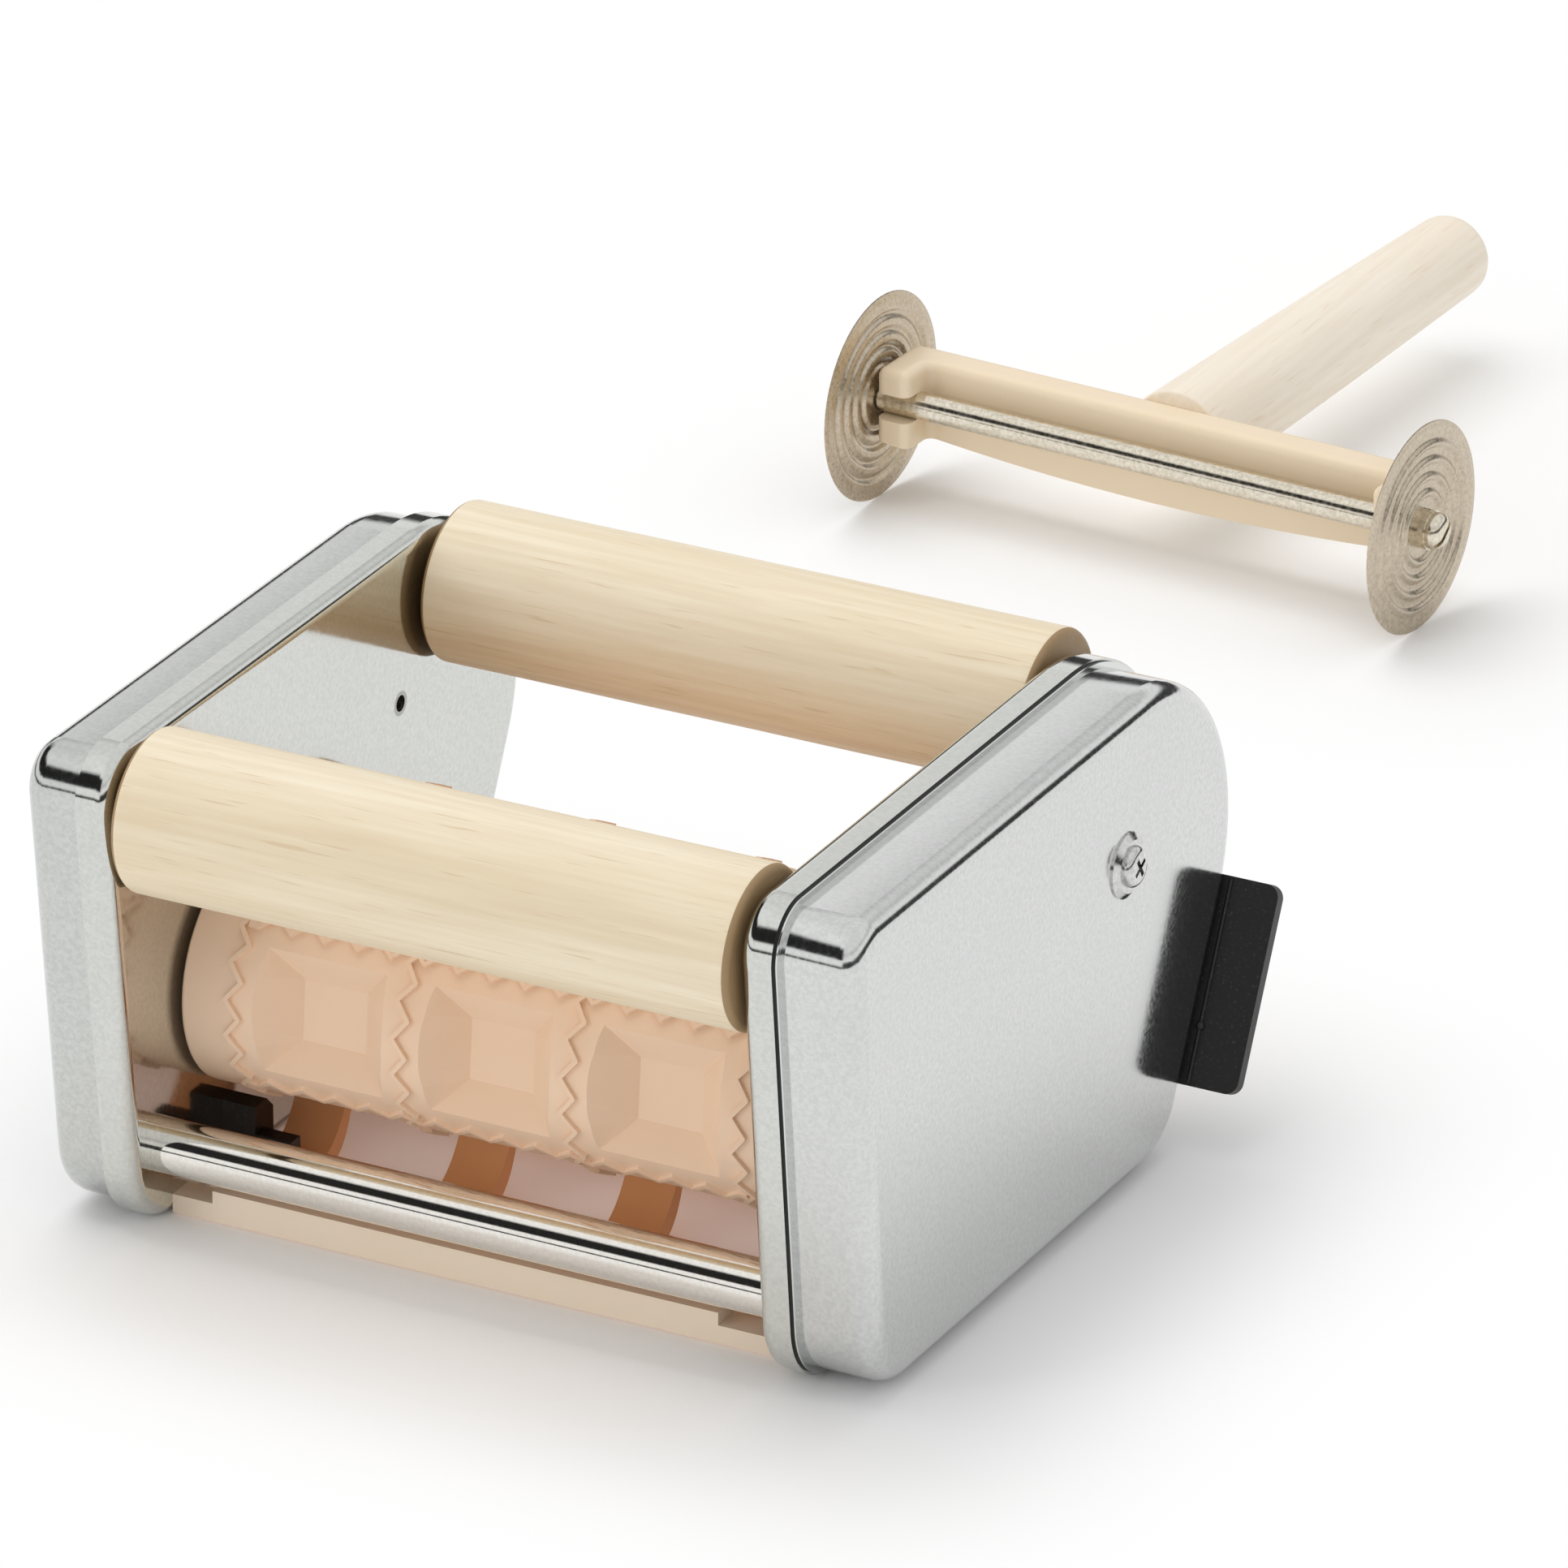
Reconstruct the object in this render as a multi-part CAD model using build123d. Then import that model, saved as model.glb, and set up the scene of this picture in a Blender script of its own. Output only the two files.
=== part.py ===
from build123d import *
import math
import os

# Ravioli roller attachment with a two-wheel dough cutter standing behind it.
# Lengths in millimetres. X runs along the rollers, -Y is the front, +Z is up.
# Everything is drawn about the point on the table midway between the rollers,
# then moved so that the origin is under the middle of the whole set.

# ---- side frames: pressed dishes whose rims turn outward ----
INNER_HALF = 76.0           # half the clear width between the two webs
FRAME_SHEET = 1.2
FRAME_DEPTH = 7.8
FRAME_BEND = 3.0            # outer radius of the bend between web and rim
SIDE_HEIGHT = 117.2
FRONT_FOOT_Y = -73.3        # front line of the side, at the table
FRONT_TOP_Y = -84.8         # front line of the side, at full height
REAR_FOOT_Y = 68.7          # rear line of the side, at the table
REAR_TOP_Y = 127.3          # rear line of the side, at full height
FRONT_TOP_ROUND = 12.0
REAR_TOP_ROUND = 45.0
REAR_FOOT_ROUND = 19.0
FRONT_FOOT_ROUND = 18.0

# ---- covers and the dark seals between them and the frames ----
COVER_INSET = 2.0
COVER_SHEET = 1.0
COVER_ROUND = 5.0
RIGHT_COVER_DEPTH = 18.0
LEFT_COVER_DEPTH = 14.3
RIGHT_SEAL = 1.0
LEFT_SEAL = 0.2
SEAL_SETBACK = 0.6          # how far the seal's edge lies inside the frame's edge
SEAL_WIDTH = 3.4

# ---- cover screws, posts and cup washers ----
COVER_SCREW_Y = 44.0
COVER_SCREW_Z = 80.0
POST_R = 4.0
POST_SPIGOT_R = 2.9
COVER_SCREW_R = 1.85
SCREW_THREAD_GAP = 0.05
COVER_SCREW_HEAD_R = 4.7
COVER_SCREW_HEAD_H = 2.6
COVER_SCREW_LENGTH = 12.0
SCREW_HOLE_GAP = 0.6
CUP_R = 7.5
CUP_H = 1.5
CROSS_LENGTH = 5.0
CROSS_WIDTH = 1.1
CROSS_DEPTH = 1.6

# ---- wooden guide rollers ----
ROLLER_R = 18.3
ROLLER_LENGTH = 148.7
ROLLER_HALF_PITCH = 67.6
ROLLER_Z = 100.9
ROLLER_EDGE = 1.5
ROLLER_PIN_R = 4.0
ROLLER_PIN_REACH = 16.0     # how far a pin enters its roller
ROLLER_BORE_EXTRA = 2.0
RUNNING_GAP = 0.05
PIN_HEAD_R = 6.5
PIN_HEAD_H = 1.4

# ---- tie rods ----
TIE_R = 6.2
TIE_Y = 61.8
TIE_Z = 18.0
TIE_SCREW_R = 2.5
TIE_SCREW_DEPTH = 14.0
TIE_HEAD_R = 4.5
TIE_HEAD_H = 2.6

# ---- mould drums ----
DRUM_LENGTH = 149.2
DRUM_HALF_PITCH = 27.2      # half the distance between the two drum axes
FRONT_DRUM_Y = -30.5
FRONT_DRUM_Z = 49.0
DRUM_TILT = 6.5             # degrees that the rear drum's axis lies below level
DRUM_GAP = 0.4              # between the crimping walls of the two drums
LAND_DROP = 1.0             # the smooth land lies this far below the walls
DRUM_EDGE = 1.0
DRUM_PHASE = 5.5            # degrees that a pocket's middle faces above level
POCKETS_ALONG = 3
POCKETS_ROUND = 4
POCKET_PITCH = 41.0
POCKET_FLOOR_X = 15.5
POCKET_FLOOR_W = 14.0
POCKET_DEPTH = 8.5
POCKET_HALF_ANGLE = 33.0
POCKET_HALF_X = 16.0        # half length of the mouth, at its middle
POCKET_CORNER_X = 14.5      # half length of the mouth, at its corners
POCKET_END_FACETS = 4
TEETH_PER_SIDE = 5
TOOTH_SWING = 3.4           # side to side swing of the crimping wall
WALL_WIDTH = 1.3
TOOTH_BLUNT = 0.2           # cut off each tooth's sharp tip
WALL_ROOT = 0.7             # how deep the crimping wall is rooted in the drum

# ---- drum shafts, bushes, gears and coupling ----
SHAFT_R = 5.0
BUSH_R = 7.5
BUSH_FLANGE_R = 10.0
BUSH_FLANGE = 1.0
BUSH_TAIL = 2.0             # how far a bush stands out behind its web
GEAR_TEETH = 27
GEAR_FACE = 8.0
GEAR_ADDENDUM = 1.6
GEAR_DEDENDUM = 2.1
GEAR_BACKLASH = 0.9
GEAR_HUB_R = 8.5
GEAR_HUB = 4.0
HUB_GAP = 0.8               # from the bush's tail to the gear's hub
CLIP_R = 7.2
CLIP_T = 1.0
CLIP_GAP = 0.2
SHAFT_TIP = 1.5             # shaft left standing beyond a clip
COUPLING_R = 8.0
COUPLING_LENGTH = 16.5
COUPLING_GRIP = 6.0
SOCKET_R = 4.1
COUPLING_GAP = 0.6
COVER_DRIVE_HOLE_GAP = 1.5

# ---- stripping combs under the drums ----
COMB_FRONT_Y = 59.0
COMB_DEPTH = 7.0
COMB_HEIGHT = 7.3
COMB_LIFT = 0.5             # the bar clears the table by this much
COMB_NOTCH = 3.0
COMB_NOTCH_LEFT = 10.0
COMB_NOTCH_RIGHT = 18.0
TINE_WIDTH = 12.5
TINE_THICK = 3.6
TINE_TIP_THICK = 1.6
TINE_CLEAR = 1.2            # between a tine's tip and the drum's walls
TINE_TIP_ANGLE = 40.0       # degrees from straight down, towards the nip
TINE_FLAT_RUN = 3.5         # the tine is flat up to this far before the drum's axis
TINE_BEND_RUN = 6.7         # and bends up this far behind it
TINE_BEND_Z = 7.5
CLIP_BLOCK_WIDTH = 8.2
CLIP_BLOCK_Y0 = 29.0
CLIP_BLOCK_Y1 = 37.0
CLIP_BLOCK_Z0 = 4.5
CLIP_BLOCK_Z1 = 18.0
REAR_CLIP_SETBACK = 7.5     # the rear clips stand this much further out
CLIP_TONGUE = 9.0
CLIP_TONGUE_T = 4.0
CLIP_TONGUE_Z0 = 6.5
CLIP_TONGUE_Z1 = 11.5

# ---- black clamping wings on the rear walls of the covers ----
WING_FOOT = 15.2            # along the rear wall, from the table up
WING_LENGTH = 46.8
WING_THICK = 3.0
WING_REACH = 12.4           # how far a wing stands out beyond the cover's face
WING_START = 2.4            # from the cover's rim to the wing's inner edge
WING_ROUND = 3.0
WING_RIB_OUT = 0.7          # the rib's line, beyond the cover's face
WING_RIB_R = 0.5
WING_KNOB_AT = 13.4         # the small knob on the rib, from the wing's foot
WING_KNOB_R = 1.1
TENON_LENGTH = 9.0
TENON_INSET = 9.0
TENON_OUT = 7.0             # from the wing's inner edge to the tongues' middle
TENON_GAP = 0.1

# ---- two-wheel dough cutter ----
CUTTER_X = -44.4
CUTTER_Y = 350.3
CUTTER_YAW = -3.74
WHEEL_R = 26.0
WHEEL_SPACING = 148.6
WHEEL_T = 0.8
WHEEL_RING_FIRST = 8.5
WHEEL_RING_STEP = 4.0
WHEEL_RINGS = 4
WHEEL_RING_H = 0.7
WHEEL_RING_HALF = 1.3
WHEEL_RIM_T = 0.35
WHEEL_RIM_BEVEL = 1.4
SPINDLE_R = 2.0
TUBE_R = 3.4
TUBE_END_GAP = 0.5          # between the axle tube and each wheel
COLLAR_R = 4.8
COLLAR_H = 2.8
NUT_R = 4.5
NUT_H = 3.6
NUT_SLOT = 1.2
NUT_SLOT_DEPTH = 1.5
YOKE_HALF = 72.5
YOKE_ARM = 9.0
YOKE_BACK = 13.5            # rear face of the yoke, behind the axle
YOKE_FRONT = 4.6            # front face of the yoke, behind the axle
YOKE_ARM_REACH = 5.5        # the fork's prongs reach this far before the axle
YOKE_TOP = 9.8
YOKE_BOTTOM = 9.0
YOKE_BOW = 4.0              # the yoke's lower edge sinks by this at its middle
YOKE_ROUND = 2.4
YOKE_STUD_R = 5.0
YOKE_STUD = 14.0
HANDLE_ROOT_R = 12.9
HANDLE_END_R = 10.5
HANDLE_TIP = 151.0          # from the axle to the handle's tip
HANDLE_END_ROUND = 5.0

# ---- sizes that follow from the ones above ----
WEB_BACK = INNER_HALF + FRAME_SHEET
FRAME_RIM = INNER_HALF + FRAME_DEPTH
RIGHT_COVER_FACE = FRAME_RIM + RIGHT_SEAL + RIGHT_COVER_DEPTH
LEFT_COVER_FACE = FRAME_RIM + LEFT_SEAL + LEFT_COVER_DEPTH
DRUM_R = DRUM_HALF_PITCH - DRUM_GAP / 2
REAR_DRUM_Y = FRONT_DRUM_Y + 2 * DRUM_HALF_PITCH * math.cos(math.radians(DRUM_TILT))
REAR_DRUM_Z = FRONT_DRUM_Z - 2 * DRUM_HALF_PITCH * math.sin(math.radians(DRUM_TILT))
FRONT_AXIS = (FRONT_DRUM_Y, FRONT_DRUM_Z)
REAR_AXIS = (REAR_DRUM_Y, REAR_DRUM_Z)
LAND_R = DRUM_R - LAND_DROP
BUSH_END = WEB_BACK + BUSH_TAIL
HUB_START = BUSH_END + HUB_GAP
GEAR_START = HUB_START + GEAR_HUB
GEAR_END = GEAR_START + GEAR_FACE
SHAFT_GEAR_END = GEAR_END + CLIP_T + SHAFT_TIP
CLIP_START = BUSH_END + CLIP_GAP
COUPLING_START = BUSH_END + COUPLING_GAP
COUPLING_END = COUPLING_START + COUPLING_LENGTH
SHAFT_DRIVE_END = COUPLING_START + COUPLING_GRIP
TUBE_HALF = WHEEL_SPACING / 2 - WHEEL_T / 2 - TUBE_END_GAP
WHEEL_HALF = WHEEL_SPACING / 2
COMB_TINES = [POCKET_PITCH * (i - POCKETS_ALONG / 2) for i in range(POCKETS_ALONG + 1)]


def rod(x0, x1, y, z, r):
    """A round bar along X."""
    return extrude(Plane.YZ.offset(x0) * Pos(y, z) * Circle(r), x1 - x0)


def tube(x0, x1, y, z, r, bore):
    """A round tube along X."""
    return rod(x0, x1, y, z, r) - rod(x0, x1, y, z, bore)


def other_side(shape):
    """The same shape on the other side frame."""
    return mirror(shape, Plane.YZ)


def other_end(shape):
    """The same shape at the other end of the machine, front to rear."""
    return mirror(shape, Plane.XZ)


def side_profile(inset):
    """Outline of a side in the Y-Z plane, drawn in from the full outline."""
    corners = [
        ((FRONT_FOOT_Y, 0), FRONT_FOOT_ROUND),
        ((REAR_FOOT_Y, 0), REAR_FOOT_ROUND),
        ((REAR_TOP_Y, SIDE_HEIGHT), REAR_TOP_ROUND),
        ((FRONT_TOP_Y, SIDE_HEIGHT), FRONT_TOP_ROUND),
    ]
    face = Polygon(*[point for point, _ in corners], align=None)
    for (y, z), radius in corners:
        corner = face.vertices().sort_by_distance((y, z, 0))[0]
        face = fillet(corner, radius)
    if inset:
        face = offset(face, -inset)
    return face


def pan(x_closed, x_open, inset, sheet, bend):
    """A pressed dish: flat at x_closed, open at x_open, with a bent edge."""
    step = 1 if x_open > x_closed else -1
    deep = abs(x_open - x_closed)
    outer = extrude(Plane.YZ.offset(min(x_closed, x_open)) * side_profile(inset), deep)
    closed = Axis.X if step < 0 else -Axis.X
    outer = fillet(outer.faces().sort_by(closed)[-1].edges(), bend)
    floor = x_closed + step * sheet
    start = min(floor, x_open)
    inner = extrude(Plane.YZ.offset(start) * side_profile(inset + sheet), deep - sheet)
    inner = fillet(inner.faces().sort_by(closed)[-1].edges(), bend - sheet)
    return outer - inner


def side_frame():
    """Right side frame with its bearing, pin and screw holes."""
    frame = pan(INNER_HALF, FRAME_RIM, 0, FRAME_SHEET, FRAME_BEND)
    holes = [(COVER_SCREW_Y, COVER_SCREW_Z, POST_SPIGOT_R)]
    for end in (-1, 1):
        holes.append((end * ROLLER_HALF_PITCH, ROLLER_Z, ROLLER_PIN_R))
        holes.append((end * TIE_Y, TIE_Z, TIE_SCREW_R))
    for axis in (FRONT_AXIS, REAR_AXIS):
        holes.append((*axis, BUSH_R))
    for y, z, r in holes:
        frame -= rod(INNER_HALF - 1, WEB_BACK + 1, y, z, r)
    return frame


def wing_plane(rim_x):
    """Plane on a cover's rear wall: its x runs up the wall, its y along +X."""
    up = Vector(0, REAR_TOP_Y - REAR_FOOT_Y, SIDE_HEIGHT).normalized()
    outward = Vector(0, up.Z, -up.Y)
    foot = Vector(rim_x + WING_START, REAR_FOOT_Y, 0) - outward * COVER_INSET
    return Plane(origin=foot + up * WING_FOOT, x_dir=up, z_dir=outward)


def tenon(rim_x, gap):
    """Two tongues that pass through the cover's rear wall, or their slots."""
    plane = wing_plane(rim_x)
    tongues = []
    for at in (TENON_INSET, WING_LENGTH - TENON_INSET):
        size = (TENON_LENGTH + 2 * gap, WING_THICK + 2 * gap, COVER_SHEET)
        spot = Pos(at, TENON_OUT, -COVER_SHEET / 2)
        tongues.append(plane * spot * Box(*size))
    return tongues


def wing(face_x, rim_x):
    """Black plate flat on a cover's rear wall, standing out beyond its face."""
    wide = face_x + WING_REACH - rim_x - WING_START
    outline = Polygon(
        (0, 0), (WING_LENGTH, 0), (WING_LENGTH, wide), (0, wide), align=None
    )
    outline = fillet(outline.vertices(), WING_ROUND)
    plane = wing_plane(rim_x)
    plate = plane * extrude(outline, WING_THICK)
    rib_at = wide - WING_REACH + WING_RIB_OUT
    rib = Pos(0.5, rib_at, 0) * Rot(0, 90, 0) * Cylinder(
        WING_RIB_R, WING_LENGTH - 1, align=(Align.CENTER, Align.CENTER, Align.MIN)
    )
    knob = Pos(WING_KNOB_AT, rib_at, 0) * Sphere(WING_KNOB_R)
    plate += [plane * rib, plane * knob]
    for tongue in tenon(rim_x, 0):
        plate += tongue
    return plate


def cover(face_x, rim_x):
    """Outer cover with its screw hole and the slots for the wing."""
    shell = pan(face_x, rim_x, COVER_INSET, COVER_SHEET, COVER_ROUND)
    hole_r = COVER_SCREW_R + SCREW_HOLE_GAP
    shell -= rod(face_x - 2 * COVER_SHEET, face_x + 1, COVER_SCREW_Y, COVER_SCREW_Z, hole_r)
    for slot in tenon(rim_x, TENON_GAP):
        shell -= slot
    return shell


def seal(x0, thickness):
    """Thin dark ring between a frame's rim and its cover."""
    ring = side_profile(SEAL_SETBACK) - side_profile(SEAL_SETBACK + SEAL_WIDTH)
    return extrude(Plane.YZ.offset(x0) * ring, thickness)


def post(face_x):
    """Threaded post from the web to the cover, with a spigot in the web."""
    inner = face_x - COVER_SHEET
    body = rod(WEB_BACK, inner, COVER_SCREW_Y, COVER_SCREW_Z, POST_R)
    body += rod(INNER_HALF, WEB_BACK, COVER_SCREW_Y, COVER_SCREW_Z, POST_SPIGOT_R)
    bore = COVER_SCREW_R + SCREW_THREAD_GAP
    return body - rod(INNER_HALF, inner, COVER_SCREW_Y, COVER_SCREW_Z, bore)


def cup_washer(face_x):
    """Cup under the cover screw's head."""
    ring = rod(face_x, face_x + CUP_H, COVER_SCREW_Y, COVER_SCREW_Z, CUP_R)
    ring = chamfer(ring.faces().sort_by(Axis.X)[-1].edges(), CUP_H - 0.4, CUP_H)
    hole_r = COVER_SCREW_R + SCREW_HOLE_GAP
    ring -= rod(face_x, face_x + CUP_H, COVER_SCREW_Y, COVER_SCREW_Z, hole_r)
    seat = CUP_H / 2
    return ring - rod(face_x + seat, face_x + CUP_H, COVER_SCREW_Y, COVER_SCREW_Z, COVER_SCREW_HEAD_R)


def cover_screw(face_x):
    """Round-headed screw with a cross recess."""
    seat = face_x + CUP_H / 2
    head = rod(seat, seat + COVER_SCREW_HEAD_H, COVER_SCREW_Y, COVER_SCREW_Z, COVER_SCREW_HEAD_R)
    head = fillet(head.faces().sort_by(Axis.X)[-1].edges(), COVER_SCREW_HEAD_H * 0.7)
    head += rod(seat - COVER_SCREW_LENGTH, seat, COVER_SCREW_Y, COVER_SCREW_Z, COVER_SCREW_R)
    top = Pos(seat + COVER_SCREW_HEAD_H, COVER_SCREW_Y, COVER_SCREW_Z)
    head -= top * Rot(30, 0, 0) * Box(2 * CROSS_DEPTH, CROSS_LENGTH, CROSS_WIDTH)
    return head - top * Rot(30, 0, 0) * Box(2 * CROSS_DEPTH, CROSS_WIDTH, CROSS_LENGTH)


def roller():
    """Front wooden roller with a blind bore at each end."""
    half = ROLLER_LENGTH / 2
    body = rod(-half, half, -ROLLER_HALF_PITCH, ROLLER_Z, ROLLER_R)
    for end in (0, -1):
        body = fillet(body.faces().sort_by(Axis.X)[end].edges(), ROLLER_EDGE)
    bore = ROLLER_PIN_R + RUNNING_GAP
    depth = ROLLER_PIN_REACH + ROLLER_BORE_EXTRA
    hole = rod(half - depth, half, -ROLLER_HALF_PITCH, ROLLER_Z, bore)
    return body - hole - other_side(hole)


def roller_pin():
    """Right pin of the front roller, riveted behind the web."""
    start = ROLLER_LENGTH / 2 - ROLLER_PIN_REACH
    pin = rod(start, WEB_BACK, -ROLLER_HALF_PITCH, ROLLER_Z, ROLLER_PIN_R)
    return pin + rod(WEB_BACK, WEB_BACK + PIN_HEAD_H, -ROLLER_HALF_PITCH, ROLLER_Z, PIN_HEAD_R)


def tie_rod():
    """Front tie rod between the webs, tapped at both ends."""
    bar = rod(-INNER_HALF, INNER_HALF, -TIE_Y, TIE_Z, TIE_R)
    hole = rod(INNER_HALF - TIE_SCREW_DEPTH, INNER_HALF, -TIE_Y, TIE_Z, TIE_SCREW_R)
    return bar - hole - other_side(hole)


def tie_screw():
    """Screw at the right end of the front tie rod."""
    shank = rod(INNER_HALF - TIE_SCREW_DEPTH, WEB_BACK, -TIE_Y, TIE_Z, TIE_SCREW_R)
    return shank + rod(WEB_BACK, WEB_BACK + TIE_HEAD_H, -TIE_Y, TIE_Z, TIE_HEAD_R)


def on_drum(x, angle, radius):
    """Point at a distance from the drum's own axis, angle in degrees from -Y."""
    a = math.radians(angle)
    return Vector(x, -radius * math.cos(a), radius * math.sin(a))


def pocket_mouth(side):
    """Points of one end of a pocket's mouth, carried on past the land."""
    points = []
    floor_d = LAND_R - POCKET_DEPTH
    for i in range(POCKET_END_FACETS + 1):
        share = 2 * i / POCKET_END_FACETS - 1
        x = POCKET_HALF_X - (POCKET_HALF_X - POCKET_CORNER_X) * share * share
        rim = on_drum(side * x, share * POCKET_HALF_ANGLE, LAND_R)
        foot = Vector(side * POCKET_FLOOR_X / 2, -floor_d, share * POCKET_FLOOR_W / 2)
        points.append(foot + (rim - foot) * 1.35)
    return points


def pocket_cutter():
    """Solid that fills one pocket: a flat floor and four spreading sides."""
    low = {}
    floor_d = LAND_R - POCKET_DEPTH
    for side in (-1, 1):
        for edge in (-1, 1):
            corner = Vector(side * POCKET_FLOOR_X / 2, -floor_d, edge * POCKET_FLOOR_W / 2)
            low[side, edge] = corner
    mouth = {side: pocket_mouth(side) for side in (-1, 1)}
    loops = [[low[-1, -1], low[1, -1], low[1, 1], low[-1, 1]]]
    last = POCKET_END_FACETS
    loops.append([low[-1, -1], low[1, -1], mouth[1][0], mouth[-1][0]])
    loops.append([low[-1, 1], low[1, 1], mouth[1][last], mouth[-1][last]])
    for i in range(last):
        loops.append([mouth[-1][i], mouth[1][i], mouth[1][i + 1], mouth[-1][i + 1]])
    for side in (-1, 1):
        rim = mouth[side]
        for i in range(last):
            foot = low[side, -1] if i < last / 2 else low[side, 1]
            loops.append([foot, rim[i], rim[i + 1]])
        loops.append([low[side, -1], low[side, 1], rim[last // 2]])
    faces = [Face(Wire.make_polygon(loop, close=True)) for loop in loops]
    return Solid(Shell(faces))


def notch(pitch, reach):
    """Three-sided prism along Z that cuts one gap between two teeth."""
    half = pitch / 2 * (1 + 2 * WALL_WIDTH / TOOTH_SWING)
    deep = TOOTH_SWING + 2 * WALL_WIDTH
    flat = Polygon((0, 0), (half, deep), (-half, deep), align=None)
    return extrude(flat, reach, both=True)


def ring_walls():
    """Crimping walls that run round the drum, one at each pocket boundary."""
    count = TEETH_PER_SIDE * POCKETS_ROUND
    pitch = 2 * math.pi * DRUM_R / count
    half_band = (TOOTH_SWING + WALL_WIDTH) / 2 - TOOTH_BLUNT
    inner_r = LAND_R - WALL_ROOT
    reach = DRUM_R - inner_r
    tooth = notch(pitch, reach)
    step = 360 / count
    start = 45 - step / 2
    walls = []
    for x in COMB_TINES:
        band = tube(x - half_band, x + half_band, 0, 0, DRUM_R, inner_r)
        cuts = []
        for i in range(count):
            for side in (-1, 1):
                turn = start + (i + (0.25 if side > 0 else 0.75)) * step
                tip = x + side * (WALL_WIDTH - TOOTH_SWING) / 2
                place = Rot(-turn, 0, 0) * Pos(tip, -(inner_r + DRUM_R) / 2, 0)
                cuts.append(place * Rot(90, 0, 0) * Rot(0, 0, -90 * side) * tooth)
        walls.append(band - cuts)
    return walls


def bar_walls():
    """Crimping walls that run along the drum, between the rows of pockets."""
    count = TEETH_PER_SIDE * POCKETS_ALONG
    pitch = POCKET_PITCH / TEETH_PER_SIDE
    inner_r = LAND_R - WALL_ROOT
    reach = DRUM_R - inner_r
    tooth = notch(pitch, reach)
    half_run = POCKET_PITCH * POCKETS_ALONG / 2
    half_band = (TOOTH_SWING + WALL_WIDTH) / 2 - TOOTH_BLUNT
    shell = tube(-half_run, half_run, 0, 0, DRUM_R, inner_r)
    slab = Pos(0, -DRUM_R, 0) * Box(2 * half_run, 2 * DRUM_R, 2 * half_band)
    bar = shell & slab
    cuts = []
    for i in range(count):
        for side in (-1, 1):
            x = -half_run + (i + (0.25 if side > 0 else 0.75)) * pitch
            tip = side * (WALL_WIDTH - TOOTH_SWING) / 2
            place = Pos(x, -(inner_r + DRUM_R) / 2, tip)
            cuts.append(place * Rot(90, 0, 0) * Rot(0, 0, 0 if side > 0 else 180) * tooth)
    bar -= cuts
    return [Rot(-45 - 90 * i, 0, 0) * bar for i in range(POCKETS_ROUND)]


def drum():
    """Mould drum about its own axis, with a pocket's middle facing -Y."""
    half = DRUM_LENGTH / 2
    body = rod(-half, half, 0, 0, LAND_R)
    for end in (0, -1):
        body = fillet(body.faces().sort_by(Axis.X)[end].edges(), DRUM_EDGE)
    body = body.fuse(*ring_walls(), *bar_walls())
    cutter = pocket_cutter()
    cuts = [rod(-half, half, 0, 0, SHAFT_R)]
    for i in range(POCKETS_ALONG):
        x = POCKET_PITCH * (i - (POCKETS_ALONG - 1) / 2)
        for k in range(POCKETS_ROUND):
            cuts.append(Rot(360 / POCKETS_ROUND * k, 0, 0) * Pos(x, 0, 0) * cutter)
    return body.cut(*cuts)


def gear():
    """Spur gear with its hub, about its own axis; a tooth points to +Y."""
    pitch = 2 * math.pi / GEAR_TEETH
    root_r = DRUM_HALF_PITCH - GEAR_DEDENDUM
    tip_r = DRUM_HALF_PITCH + GEAR_ADDENDUM
    thick = pitch / 2 - GEAR_BACKLASH / 2 / DRUM_HALF_PITCH
    shares = [(-0.78, root_r), (-0.5, DRUM_HALF_PITCH), (-0.24, tip_r)]
    shares += [(-share, r) for share, r in reversed(shares)]
    points = []
    for i in range(GEAR_TEETH):
        for share, r in shares:
            a = i * pitch + share * thick
            points.append((r * math.cos(a), r * math.sin(a)))
    wheel = extrude(Plane.YZ.offset(GEAR_START) * Polygon(*points, align=None), GEAR_FACE)
    wheel += rod(HUB_START, GEAR_START, 0, 0, GEAR_HUB_R)
    return wheel - rod(HUB_START, GEAR_END, 0, 0, SHAFT_R)


def bush(axis):
    """Right bush of a drum's shaft."""
    sleeve = rod(INNER_HALF, BUSH_END, *axis, BUSH_R)
    sleeve += rod(INNER_HALF - BUSH_FLANGE, INNER_HALF, *axis, BUSH_FLANGE_R)
    bore = SHAFT_R + RUNNING_GAP
    return sleeve - rod(INNER_HALF - BUSH_FLANGE, BUSH_END, *axis, bore)


def shaft_clip(x0, axis):
    """Retaining ring on a shaft."""
    return tube(x0, x0 + CLIP_T, *axis, CLIP_R, SHAFT_R)


def coupling():
    """Sleeve on the front shaft's left end, with a socket for a crank."""
    sleeve = rod(-COUPLING_END, -COUPLING_START, *FRONT_AXIS, COUPLING_R)
    sleeve -= rod(-SHAFT_DRIVE_END, -COUPLING_START, *FRONT_AXIS, SHAFT_R)
    return sleeve - rod(-COUPLING_END, -SHAFT_DRIVE_END, *FRONT_AXIS, SOCKET_R)


def drum_pair(front, rear):
    """Two shapes drawn about their own axes, put on the tilted pair of axes."""
    turn = Pos(0, *FRONT_AXIS) * Rot(-DRUM_TILT, 0, 0)
    return turn * front, turn * Pos(0, 2 * DRUM_HALF_PITCH, 0) * rear


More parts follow.
